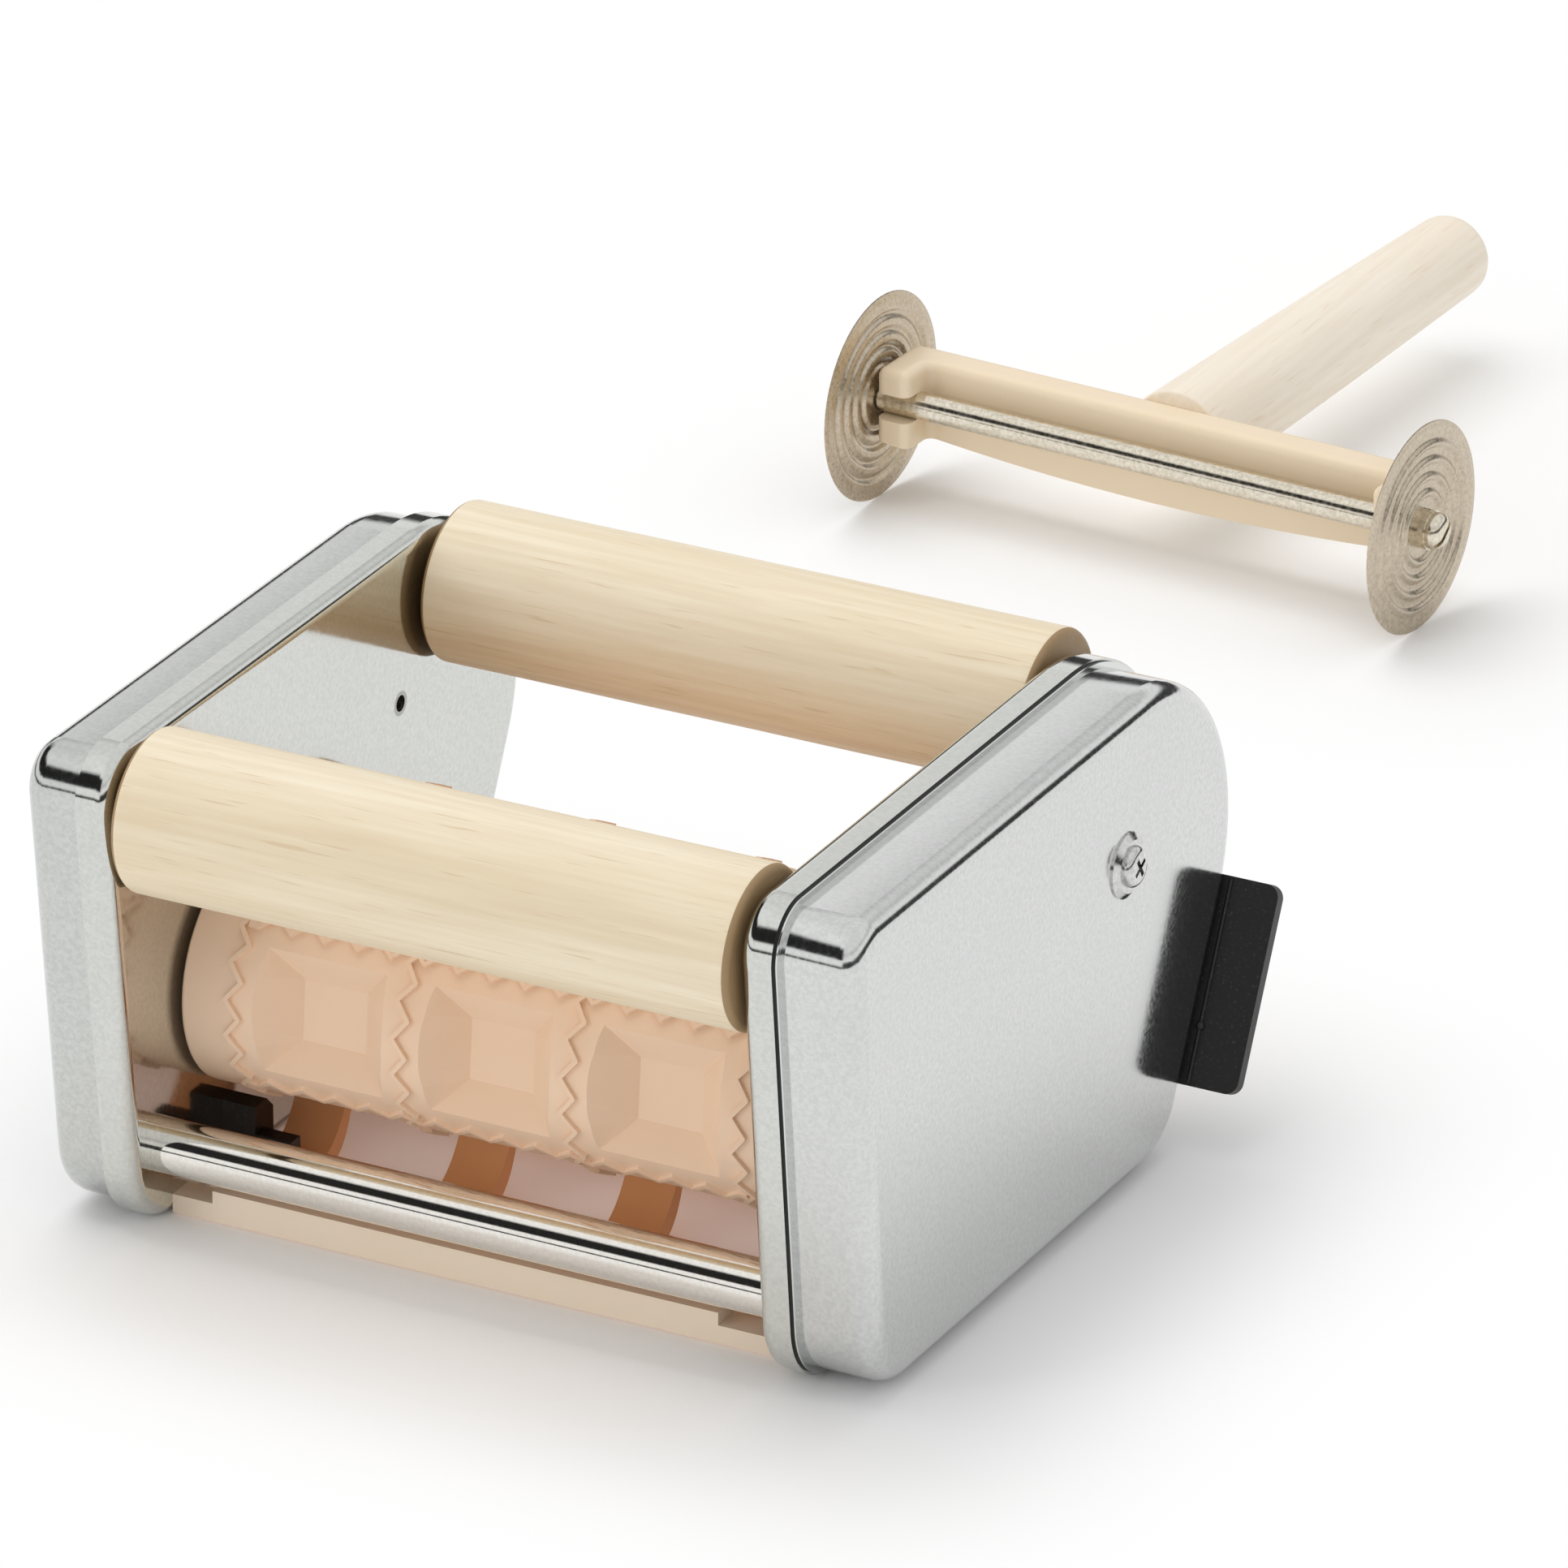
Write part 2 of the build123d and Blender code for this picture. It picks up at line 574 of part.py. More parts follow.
def tine_outline(axis_y, axis_z):
    """Side view of a front tine: flat, then up along its drum to its tip."""
    a = math.radians(TINE_TIP_ANGLE)
    tip_r = DRUM_R + TINE_CLEAR
    tip_y = axis_y + tip_r * math.sin(a)
    tip_z = axis_z - tip_r * math.cos(a)
    back_r = tip_r + TINE_TIP_THICK
    back_y = axis_y + back_r * math.sin(a)
    back_z = axis_z - back_r * math.cos(a)
    flat_y = axis_y - TINE_FLAT_RUN
    bend_y = axis_y + TINE_BEND_RUN
    root_y = -COMB_FRONT_Y + COMB_DEPTH / 2
    upper = Spline(
        (flat_y, COMB_LIFT + TINE_THICK),
        (bend_y, COMB_LIFT + TINE_BEND_Z),
        (tip_y, tip_z),
        tangents=[(1, 0), (math.cos(math.radians(62)), math.sin(math.radians(62)))],
    )
    lower = Spline(
        (flat_y + 2, COMB_LIFT),
        (bend_y + 3, COMB_LIFT + TINE_BEND_Z - 3.4),
        (back_y, back_z),
        tangents=[(1, 0), (math.cos(math.radians(62)), math.sin(math.radians(62)))],
    )
    edges = [
        Line((root_y, COMB_LIFT), lower @ 0),
        lower,
        Line(lower @ 1, upper @ 1),
        upper,
        Line(upper @ 0, (root_y, COMB_LIFT + TINE_THICK)),
        Line((root_y, COMB_LIFT + TINE_THICK), (root_y, COMB_LIFT)),
    ]
    return make_face(edges)


def comb(axis_y, axis_z):
    """Front stripping comb: a bar between the webs with a tine at each wall."""
    bar = Pos(0, -COMB_FRONT_Y + COMB_DEPTH / 2, COMB_LIFT + COMB_HEIGHT / 2) * Box(
        2 * INNER_HALF, COMB_DEPTH, COMB_HEIGHT
    )
    ends = ((-1, COMB_NOTCH_LEFT), (1, COMB_NOTCH_RIGHT))
    for side, run in ends:
        centre = Vector(
            side * (INNER_HALF - run / 2), -COMB_FRONT_Y, COMB_LIFT + COMB_HEIGHT - COMB_NOTCH / 2
        )
        bar -= Pos(*centre) * Box(run, 2 * COMB_DEPTH, COMB_NOTCH)
    outline = tine_outline(axis_y, axis_z)
    for x in COMB_TINES:
        bar += extrude(Plane.YZ.offset(x - TINE_WIDTH / 2) * outline, TINE_WIDTH)
    return bar


def comb_clip():
    """Black clip at the front left, from the web to above the first tine."""
    height = CLIP_BLOCK_Z1 - CLIP_BLOCK_Z0
    deep = CLIP_BLOCK_Y1 - CLIP_BLOCK_Y0
    low = (Align.MIN, Align.MIN, Align.MIN)
    block = Pos(-INNER_HALF, -CLIP_BLOCK_Y1, CLIP_BLOCK_Z0) * Box(
        CLIP_BLOCK_WIDTH, deep, height, align=low
    )
    high = block.edges().filter_by(Axis.X).sort_by(Axis.Z)[-2:].sort_by(Axis.Y)
    block = chamfer(high[-1], deep * 0.35)
    tongue = Pos(-INNER_HALF + CLIP_BLOCK_WIDTH, -CLIP_BLOCK_Y1, CLIP_TONGUE_Z0) * Box(
        CLIP_TONGUE, CLIP_TONGUE_T, CLIP_TONGUE_Z1 - CLIP_TONGUE_Z0, align=low
    )
    return block + tongue


def cutter_place():
    return Pos(CUTTER_X, CUTTER_Y, WHEEL_R) * Rot(0, 0, CUTTER_YAW)


def wheel(side):
    """Pressed disc with rings; its outer face looks along side."""
    t = WHEEL_T / 2
    middle = [(SPINDLE_R, 0)]
    for i in range(WHEEL_RINGS):
        r = WHEEL_RING_FIRST + i * WHEEL_RING_STEP
        middle.append((r - WHEEL_RING_HALF, 0))
        middle.append((r, WHEEL_RING_H))
        middle.append((r + WHEEL_RING_HALF, 0))
    middle.append((WHEEL_R - WHEEL_RIM_BEVEL, 0))
    front = [(x + t, r) for r, x in middle] + [(WHEEL_RIM_T / 2, WHEEL_R)]
    back = [(-WHEEL_RIM_T / 2, WHEEL_R)] + [(x - t, r) for r, x in reversed(middle)]
    disc = revolve(Polygon(*front, *back, align=None), Axis.X)
    if side < 0:
        disc = mirror(disc, Plane.YZ)
    return Pos(side * WHEEL_HALF, 0, 0) * disc


def wheel_nut():
    """Collar and domed nut outside the right wheel."""
    start = WHEEL_HALF + WHEEL_T / 2
    collar = rod(start, start + COLLAR_H, 0, 0, COLLAR_R)
    nut = rod(start + COLLAR_H, start + COLLAR_H + NUT_H, 0, 0, NUT_R)
    nut = fillet(nut.faces().sort_by(Axis.X)[-1].edges(), NUT_H * 0.8)
    slot = Pos(start + COLLAR_H + NUT_H, 0, 0) * Rot(40, 0, 0) * Box(
        2 * NUT_SLOT_DEPTH, 2 * NUT_R, NUT_SLOT
    )
    return collar + nut - slot - rod(start, start + COLLAR_H, 0, 0, SPINDLE_R)


def yoke():
    """Crossbar behind the axle tube, with a two-pronged fork at each end."""
    bow = ThreePointArc((-YOKE_HALF, -YOKE_BOTTOM), (0, -YOKE_BOTTOM - YOKE_BOW), (YOKE_HALF, -YOKE_BOTTOM))
    face = make_face([
        bow,
        Line((YOKE_HALF, -YOKE_BOTTOM), (YOKE_HALF, YOKE_TOP)),
        Line((YOKE_HALF, YOKE_TOP), (-YOKE_HALF, YOKE_TOP)),
        Line((-YOKE_HALF, YOKE_TOP), (-YOKE_HALF, -YOKE_BOTTOM)),
    ])
    body = extrude(Plane.XZ.offset(YOKE_ARM_REACH) * face, -YOKE_ARM_REACH - YOKE_BACK)
    gap = YOKE_FRONT + YOKE_ARM_REACH
    relief = Box(2 * (YOKE_HALF - YOKE_ARM), gap, 4 * YOKE_TOP)
    body -= Pos(0, (YOKE_FRONT - YOKE_ARM_REACH) / 2, 0) * relief
    body = fillet(body.edges().filter_by(GeomType.LINE).filter_by(Axis.Z), YOKE_ROUND)
    top = body.faces().sort_by(Axis.Z)[-1].edges()
    body = fillet(top, YOKE_ROUND)
    slot = rod(-YOKE_HALF, YOKE_HALF, 0, 0, TUBE_R)
    mouth = Box(2 * YOKE_HALF, 2 * YOKE_ARM_REACH, 2 * TUBE_R)
    body -= slot + Pos(0, -YOKE_ARM_REACH, 0) * mouth
    stud = Pos(0, YOKE_BACK, 0) * Rot(-90, 0, 0) * Cylinder(
        YOKE_STUD_R, YOKE_STUD, align=(Align.CENTER, Align.CENTER, Align.MIN)
    )
    return body + stud


def handle():
    """Turned wooden handle behind the yoke, rounded at its end."""
    shape = Polygon(
        (0, YOKE_BACK), (HANDLE_ROOT_R, YOKE_BACK), (HANDLE_END_R, HANDLE_TIP), (0, HANDLE_TIP), align=None
    )
    corner = shape.vertices().sort_by_distance((HANDLE_END_R, HANDLE_TIP, 0))[0]
    grip = revolve(fillet(corner, HANDLE_END_ROUND), Axis.Y)
    socket = Pos(0, YOKE_BACK, 0) * Rot(-90, 0, 0) * Cylinder(
        YOKE_STUD_R, YOKE_STUD, align=(Align.CENTER, Align.CENTER, Align.MIN)
    )
    return grip - socket


def four(shape):
    """A shape at both ends of the machine and on both sides."""
    pair = [shape, other_side(shape)]
    return Compound(children=pair + [other_end(item) for item in pair])


def two(first, second):
    return Compound(children=[first, second])


def build():
    """Every node of the set, about the point between the rollers."""
    nodes = {}
    right = side_frame()
    nodes["right_side_frame"] = right
    nodes["left_side_frame"] = other_side(right)
    nodes["right_cover"] = cover(RIGHT_COVER_FACE, FRAME_RIM + RIGHT_SEAL)
    left_cover = cover(LEFT_COVER_FACE, FRAME_RIM + LEFT_SEAL)
    drive_r = COUPLING_R + COVER_DRIVE_HOLE_GAP
    left_cover -= rod(COUPLING_END - 1, LEFT_COVER_FACE + 1, *FRONT_AXIS, drive_r)
    nodes["left_cover"] = other_side(left_cover)
    nodes["right_seal"] = seal(FRAME_RIM, RIGHT_SEAL)
    nodes["left_seal"] = other_side(seal(FRAME_RIM, LEFT_SEAL))
    faces = (RIGHT_COVER_FACE, LEFT_COVER_FACE)
    nodes["cover_posts"] = two(post(faces[0]), other_side(post(faces[1])))
    nodes["cover_screws"] = two(cover_screw(faces[0]), other_side(cover_screw(faces[1])))
    nodes["cup_washers"] = two(cup_washer(faces[0]), other_side(cup_washer(faces[1])))
    nodes["right_wing"] = wing(faces[0], FRAME_RIM + RIGHT_SEAL)
    nodes["left_wing"] = other_side(wing(faces[1], FRAME_RIM + LEFT_SEAL))
    nodes["front_roller"] = roller()
    nodes["rear_roller"] = other_end(roller())
    nodes["roller_pins"] = four(roller_pin())
    nodes["front_tie_rod"] = tie_rod()
    nodes["rear_tie_rod"] = other_end(tie_rod())
    nodes["tie_rod_screws"] = four(tie_screw())
    mould = Rot(DRUM_TILT - DRUM_PHASE, 0, 0) * drum()
    nodes["front_drum"], nodes["rear_drum"] = drum_pair(mould, other_end(mould))
    bushes = [bush(FRONT_AXIS), bush(REAR_AXIS)]
    bushes += [other_side(item) for item in bushes]
    nodes["drum_bushes"] = Compound(children=bushes)
    nodes["front_shaft"] = rod(-SHAFT_DRIVE_END, SHAFT_GEAR_END, *FRONT_AXIS, SHAFT_R)
    rear_left = -(CLIP_START + CLIP_T + SHAFT_TIP)
    nodes["rear_shaft"] = rod(rear_left, SHAFT_GEAR_END, *REAR_AXIS, SHAFT_R)
    nodes["front_gear"], nodes["rear_gear"] = drum_pair(gear(), gear())
    nodes["front_shaft_clip"] = shaft_clip(GEAR_END, FRONT_AXIS)
    rear_clips = [shaft_clip(x, REAR_AXIS) for x in (GEAR_END, -CLIP_START - CLIP_T)]
    nodes["rear_shaft_clips"] = two(*rear_clips)
    nodes["crank_coupling"] = coupling()
    nodes["front_comb"] = comb(*FRONT_AXIS)
    nodes["rear_comb"] = other_end(comb(-REAR_DRUM_Y, REAR_DRUM_Z))
    clips = [comb_clip(), other_end(Pos(0, -REAR_CLIP_SETBACK, 0) * comb_clip())]
    clips += [other_side(item) for item in clips]
    nodes["comb_clips"] = Compound(children=clips)
    place = cutter_place()
    nodes["cutter_handle"] = place * handle()
    nodes["cutter_yoke"] = place * yoke()
    nodes["cutter_tube"] = place * tube(-TUBE_HALF, TUBE_HALF, 0, 0, TUBE_R, SPINDLE_R + RUNNING_GAP)
    reach = WHEEL_HALF + WHEEL_T / 2 + COLLAR_H
    nodes["cutter_spindle"] = place * rod(-reach, reach, 0, 0, SPINDLE_R)
    nodes["cutter_left_wheel"] = place * wheel(-1)
    nodes["cutter_right_wheel"] = place * wheel(1)
    nodes["cutter_nuts"] = place * two(wheel_nut(), other_side(wheel_nut()))
    return nodes


nodes = build()
boxes = [shape.bounding_box() for shape in nodes.values()]
middle_x = (min(box.min.X for box in boxes) + max(box.max.X for box in boxes)) / 2
middle_y = (min(box.min.Y for box in boxes) + max(box.max.Y for box in boxes)) / 2
os.makedirs("parts", exist_ok=True)
for name, shape in nodes.items():
    export_step(Pos(-middle_x, -middle_y, 0) * shape, f"parts/{name}.step")
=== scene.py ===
# %% [markdown]
# # A ravioli roller attachment and its two-wheel dough cutter
# Two sheets of dough run down over the wooden guide rollers and between a pair of
# mould drums, which press the filled pockets together and crimp their edges.
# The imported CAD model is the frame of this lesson: every piece made here lies in the
# same place, in metres, and rides on one of the frame's bodies.
#
# The order is: measure the frame, make a few mesh and node helpers, set the finishes,
# make the turned pieces anew with numpy, and then the floor, the light and the camera.

# %% Load the frame
import math

import bmesh
import bpy
import numpy as np
from mathutils import Matrix, Vector


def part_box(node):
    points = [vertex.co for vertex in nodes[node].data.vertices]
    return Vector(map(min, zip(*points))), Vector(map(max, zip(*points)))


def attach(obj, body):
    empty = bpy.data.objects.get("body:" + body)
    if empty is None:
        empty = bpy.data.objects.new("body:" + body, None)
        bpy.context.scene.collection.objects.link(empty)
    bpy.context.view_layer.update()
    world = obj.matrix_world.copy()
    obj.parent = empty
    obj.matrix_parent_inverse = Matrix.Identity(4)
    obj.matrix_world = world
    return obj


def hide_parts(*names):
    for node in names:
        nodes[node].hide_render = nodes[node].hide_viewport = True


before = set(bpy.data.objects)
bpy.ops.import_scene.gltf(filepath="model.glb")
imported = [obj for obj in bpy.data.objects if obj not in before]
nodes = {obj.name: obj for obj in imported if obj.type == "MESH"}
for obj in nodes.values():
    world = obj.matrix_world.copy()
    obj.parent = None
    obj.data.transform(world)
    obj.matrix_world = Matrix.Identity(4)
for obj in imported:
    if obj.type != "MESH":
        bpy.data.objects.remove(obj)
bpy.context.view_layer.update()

# %% [markdown]
# ## Finding the machine in the frame
# The frame's origin lies under the middle of the whole set, the machine and the cutter.
# Numbers could be copied from the CAD source by hand, but they would be wrong after the
# next change. So the machine's middle is measured: the two rollers give X and Y, and
# every size further on comes from the box of a CAD node.

# %% Where the machine stands
MM = 0.001


def middle(node):
    """Centre of a CAD node's box, as a numpy point."""
    low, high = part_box(node)
    return (np.array(low) + np.array(high)) / 2


def half_size(node):
    """Half of a CAD node's box along X, Y and Z."""
    low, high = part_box(node)
    return (np.array(high) - np.array(low)) / 2


roller_f, roller_r = middle("front_roller"), middle("rear_roller")
HOME = np.array([roller_f[0], (roller_f[1] + roller_r[1]) / 2, 0.0])
print("machine's middle in mm:", (HOME / MM).round(1))

# %% [markdown]
# ## Turning arrays into meshes
# Every new piece is a surface worked out with numpy on a grid of two parameters: one
# runs along a profile, the other round an axis. One helper joins the grid into quads.
# Another puts the arrays into a mesh, welds the points that coincide at seams and
# poles, turns all faces outwards and marks the edges that are meant to stay crisp.

# %% Grid and mesh helpers
WELD = 0.002 * MM


def quads(rows, columns):
    """Corner numbers of the cells between rows of points that close to rings.

    Point b of row a has the number a * columns + b, and the last b meets the first.
    """
    a, b = np.meshgrid(np.arange(rows - 1), np.arange(columns), indexing="ij")
    here, there = a * columns, (a + 1) * columns
    b2 = (b + 1) % columns
    return np.stack([here + b, there + b, there + b2, here + b2], axis=-1).reshape(-1, 4)


def piece(name, surface, body, finish, stands_for, crisp=35.0):
    """One object from the arrays (points, faces), riding on a CAD body.

    It stands for some CAD nodes. Edges sharper than crisp, in degrees, stay sharp.
    """
    points, faces = surface
    mesh = bpy.data.meshes.new(name)
    mesh.from_pydata(points.reshape(-1, 3).tolist(), [], faces.tolist())
    work = bmesh.new()
    work.from_mesh(mesh)
    bmesh.ops.remove_doubles(work, verts=work.verts, dist=WELD)
    bmesh.ops.recalc_face_normals(work, faces=work.faces)
    work.to_mesh(mesh)
    work.free()
    mesh.polygons.foreach_set("use_smooth", np.ones(len(mesh.polygons), bool))
    mesh.set_sharp_from_angle(angle=math.radians(crisp))
    mesh.materials.append(finish)
    made = bpy.data.objects.new(name, mesh)
    bpy.context.scene.collection.objects.link(made)
    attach(made, body)
    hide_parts(*stands_for)
    print(f"{name}: {len(mesh.polygons)} faces")


print("2 rings of 8 points make", len(quads(2, 8)), "faces")

# %% [markdown]
# ## Turning a profile
# All new pieces are turned ones, as from a lathe: a profile goes round an axis. The
# Screw modifier could do that too. The array way is used because the profile can then
# follow a formula, such as a bead or a belly, at every point. Real edges are broken, and
# a sharp one catches no light, so a second helper rounds the profile's corners first.

# %% Turned surfaces and rounded corners


def turned(profile, centre, along, steps):
    """Surface of revolution: each (distance, radius) of the profile goes round the axis.

    Point = centre + distance * along + radius * (cos t * side + sin t * up).
    """
    profile = np.asarray(profile, float)
    along = np.asarray(along, float) / np.linalg.norm(along)
    up = np.array([0.0, 0.0, 1.0])
    side = np.cross(up, along)
    t = np.linspace(0, 2 * np.pi, steps, endpoint=False)
    ring = np.cos(t)[:, None] * side + np.sin(t)[:, None] * up
    points = profile[:, None, :1] * along + profile[:, None, 1:] * ring[None]
    return centre + points, quads(len(profile), steps)


def rounded(profile, radii, arc=6):
    """A polyline whose inner corners are replaced by arcs of circles, one radius each.

    Each arc touches both runs at radius / tan(half the inner angle) from the corner.
    """
    profile = np.asarray(profile, float)
    out = [profile[:1]]
    for k, radius in enumerate(radii, start=1):
        a, b, c = profile[k - 1], profile[k], profile[k + 1]
        u, v = (a - b) / np.linalg.norm(a - b), (c - b) / np.linalg.norm(c - b)
        if radius <= 0:
            out.append(b[None])
            continue
        half = np.arccos(np.clip(u @ v, -1, 1)) / 2
        centre = b + (u + v) / np.linalg.norm(u + v) * radius / np.sin(half)
        start, end = b + u * radius / np.tan(half), b + v * radius / np.tan(half)
        s = np.linspace(0, 1, arc + 1)[:, None]
        w = np.arccos(np.clip((start - centre) @ (end - centre) / radius**2, -1, 1))
        curve = np.sin((1 - s) * w) * (start - centre) + np.sin(s * w) * (end - centre)
        out.append(centre + curve / np.sin(w))
    out.append(profile[-1:])
    return np.concatenate(out)


sample = rounded([(1, 0), (0, 0), (0, 1)], [0.5])
print("a rounded corner has", len(sample) - 2, "points")

# %% [markdown]
# ## Shared effects
# Grain, fine sparkle and mottling are node groups, built once and used by many
# materials, so that a change of scale is made in one place. Each gives out a mask or a
# height only. The shader itself, and what is the same all over a surface, stays in the
# material, where an export can find it.

# %% Node helpers and groups


def group(name, inputs, outputs):
    """A shader node group with named sockets; returns it and its two ends."""
    tree = bpy.data.node_groups.new(name, "ShaderNodeTree")
    for label, kind, value in inputs:
        socket = tree.interface.new_socket(name=label, in_out="INPUT", socket_type=kind)
        if value is not None:
            socket.default_value = value
    for label, kind in outputs:
        tree.interface.new_socket(name=label, in_out="OUTPUT", socket_type=kind)
    return tree, tree.nodes.new("NodeGroupInput"), tree.nodes.new("NodeGroupOutput")


def add(tree, kind, **values):
    """A node in a tree, with its properties and unlinked sockets set by name."""
    node = tree.nodes.new(kind)
    for key, value in values.items():
        if hasattr(node, key):
            setattr(node, key, value)
        else:
            node.inputs[key.replace("_", " ")].default_value = value
    return node


def ramp(tree, source, stops):
    """A ramp of greys fed by source; stops are (place, grey)."""
    node = tree.nodes.new("ShaderNodeValToRGB")
    elements = node.color_ramp.elements
    while len(elements) < len(stops):
        elements.new(0.5)
    for element, (place, grey) in zip(elements, stops):
        element.position = place
        element.color = (grey, grey, grey, 1.0)
    tree.links.new(source, node.inputs["Fac"])
    return node.outputs["Color"]


def wood_group():
    """Streaks: noise stretched along the grain, in two widths, plus short dark pores."""
    tree, start, end = group(
        "wood_grain",
        [("Vector", "NodeSocketVector", None)],
        [(label, "NodeSocketFloat") for label in ("Streak", "Fine", "Pores")],
    )
    link = tree.links.new
    even, rare = ((0.3, 0.0), (0.7, 1.0)), ((0.66, 0.0), (0.74, 1.0))
    for label, scale, detail, stops in (
        ("Streak", (6.0, 70.0, 70.0), 3.0, even),
        ("Fine", (22.0, 520.0, 520.0), 2.0, even),
        ("Pores", (60.0, 1300.0, 1300.0), 1.0, rare),
    ):
        stretch = add(tree, "ShaderNodeMapping")
        stretch.inputs["Scale"].default_value = scale
        noise = add(tree, "ShaderNodeTexNoise", Scale=1.0, Detail=detail, Roughness=0.55)
        link(start.outputs["Vector"], stretch.inputs["Vector"])
        link(stretch.outputs["Vector"], noise.inputs["Vector"])
        link(ramp(tree, noise.outputs["Fac"], stops), end.inputs[label])
    return tree


def sparkle_group():
    """Two sizes of unevenness: Crystals, a fine noise, and Cloud, a wide soft one."""
    tree, start, end = group(
        "sparkle",
        [("Vector", "NodeSocketVector", None), ("Size", "NodeSocketFloat", 900.0)],
        [("Crystals", "NodeSocketFloat"), ("Cloud", "NodeSocketFloat")],
    )
    link = tree.links.new
    crystals = add(tree, "ShaderNodeTexNoise", Detail=2.0, Roughness=0.7)
    link(start.outputs["Vector"], crystals.inputs["Vector"])
    link(start.outputs["Size"], crystals.inputs["Scale"])
    link(crystals.outputs["Fac"], end.inputs["Crystals"])
    cloud = add(tree, "ShaderNodeTexNoise", Scale=26.0, Detail=3.0, Roughness=0.6)
    link(start.outputs["Vector"], cloud.inputs["Vector"])
    link(cloud.outputs["Fac"], end.inputs["Cloud"])
    return tree


WOOD, SPARKLE = wood_group(), sparkle_group()
print("shared groups:", WOOD.name, SPARKLE.name)

# %% [markdown]
# ## Building a material from masks
# Each finish is one Principled shader. What varies over the surface is made of masks:
# one mask mixes two shades, another makes the surface rougher, a third tilts its light.
# The helpers keep that short, so that a finish below reads as a list of what it is. All
# patterns read Object coordinates, so they stay in the piece when it turns.

# %% Material helpers


def material(name, **sockets):
    """A material with a Principled shader, whose plain values are set on its sockets."""
    made = bpy.data.materials.new(name)
    made.use_nodes = True
    shader = made.node_tree.nodes["Principled BSDF"]
    for key, value in sockets.items():
        shader.inputs[key.replace("_", " ")].default_value = value
    return made, made.node_tree, shader


def blend_colours(tree, mask, low, high):
    """Mixes low and high, each a plain colour or a socket, by a mask socket."""
    mix = add(tree, "ShaderNodeMix", data_type="RGBA")
    for socket, value in ((6, low), (7, high)):
        if isinstance(value, tuple):
            mix.inputs[socket].default_value = (*value, 1.0)
        else:
            tree.links.new(value, mix.inputs[socket])
    tree.links.new(mask, mix.inputs[0])
    return mix.outputs[2]


def scaled(tree, source, factor, plus=0.0):
    """A socket's value times factor, plus a constant."""
    node = add(tree, "ShaderNodeMath", operation="MULTIPLY_ADD")
    tree.links.new(source, node.inputs[0])
    node.inputs[1].default_value = factor
    node.inputs[2].default_value = plus
    return node.outputs[0]


def bump(tree, shader, height, distance, strength):
    """Tilts the shading by a height, distance metres high, without moving the mesh."""
    node = add(tree, "ShaderNodeBump", Strength=strength, Distance=distance)
    tree.links.new(height, node.inputs["Height"])
    tree.links.new(node.outputs["Normal"], shader.inputs["Normal"])


def along_axis(tree, axis, start, end):
    """A mask from 0 at start to 1 at end, in metres, along the object's X, Y or Z."""
    place = add(tree, "ShaderNodeTexCoord")
    split = add(tree, "ShaderNodeSeparateXYZ")
    span = add(tree, "ShaderNodeMapRange", From_Min=start, From_Max=end)
    tree.links.new(place.outputs["Object"], split.inputs[0])
    tree.links.new(split.outputs[axis], span.inputs["Value"])
    return span.outputs["Result"]


def use_group(tree, shared, turn=(0, 0, 0)):
    """Places a shared group, fed by the piece's own Object coordinates."""
    place = add(tree, "ShaderNodeTexCoord")
    turned_by = add(tree, "ShaderNodeMapping")
    turned_by.inputs["Rotation"].default_value = turn
    node = tree.nodes.new("ShaderNodeGroup")
    node.node_tree = shared
    tree.links.new(place.outputs["Object"], turned_by.inputs["Vector"])
    tree.links.new(turned_by.outputs["Vector"], node.inputs["Vector"])
    return node


print("groups that a finish can use:", len(bpy.data.node_groups))

# %% [markdown]
# ## Wood
# The rollers and the handle are pale sanded wood. The colour of such wood changes along
# streaks that follow the grain, with a few short pores, so two stretched noises mix
# three shades, and the pores are darker.
#
# A picture of wood could be wrapped round a roller, but it would show a seam and smear
# over the ends. The noise is read at each point of the solid instead, as real grain
# runs through the stick. The cut ends of the rollers are dark: end grain drinks more
# light, and the rest of the dark is painted shade of the narrow gap beside the frames.

# %% Wood
FINE_SHARE, PORE_SHARE = 0.3, 0.45
SANDED, SANDED_SPREAD = 0.48, 0.15
GRAIN_HEIGHT = 0.05 * MM


def wood(name, pale, warm, dark, turn=(0, 0, 0), end_x=None):
    """Pale wood with its grain along X, before the turn.

    end_x (middle, reach, colour) colours the end grain, with painted shade on it,
    further than reach from middle.
    """
    made, tree, shader = material(name, Coat_Weight=0.08, Coat_Roughness=0.35)
    grain = use_group(tree, WOOD, turn)
    colour = blend_colours(tree, grain.outputs["Streak"], warm, pale)
    fine = scaled(tree, grain.outputs["Fine"], FINE_SHARE)
    colour = blend_colours(tree, fine, colour, dark)
    pores = scaled(tree, grain.outputs["Pores"], PORE_SHARE)
    colour = blend_colours(tree, pores, colour, dark)
    if end_x:
        middle_x, reach, end_grain_and_shade = end_x
        place = add(tree, "ShaderNodeTexCoord")
        split = add(tree, "ShaderNodeSeparateXYZ")
        tree.links.new(place.outputs["Object"], split.inputs[0])
        flow = split.outputs["X"]
        steps = ("SUBTRACT", middle_x), ("ABSOLUTE", 0.0), ("GREATER_THAN", reach)
        for operation, value in steps:
            step = add(tree, "ShaderNodeMath", operation=operation)
            tree.links.new(flow, step.inputs[0])
            step.inputs[1].default_value = value
            flow = step.outputs[0]
        colour = blend_colours(tree, flow, colour, end_grain_and_shade)
    tree.links.new(colour, shader.inputs["Base Color"])
    rough = scaled(tree, grain.outputs["Fine"], SANDED_SPREAD, SANDED)
    tree.links.new(rough, shader.inputs["Roughness"])
    bump(tree, shader, grain.outputs["Fine"], GRAIN_HEIGHT, strength=0.5)
    return made


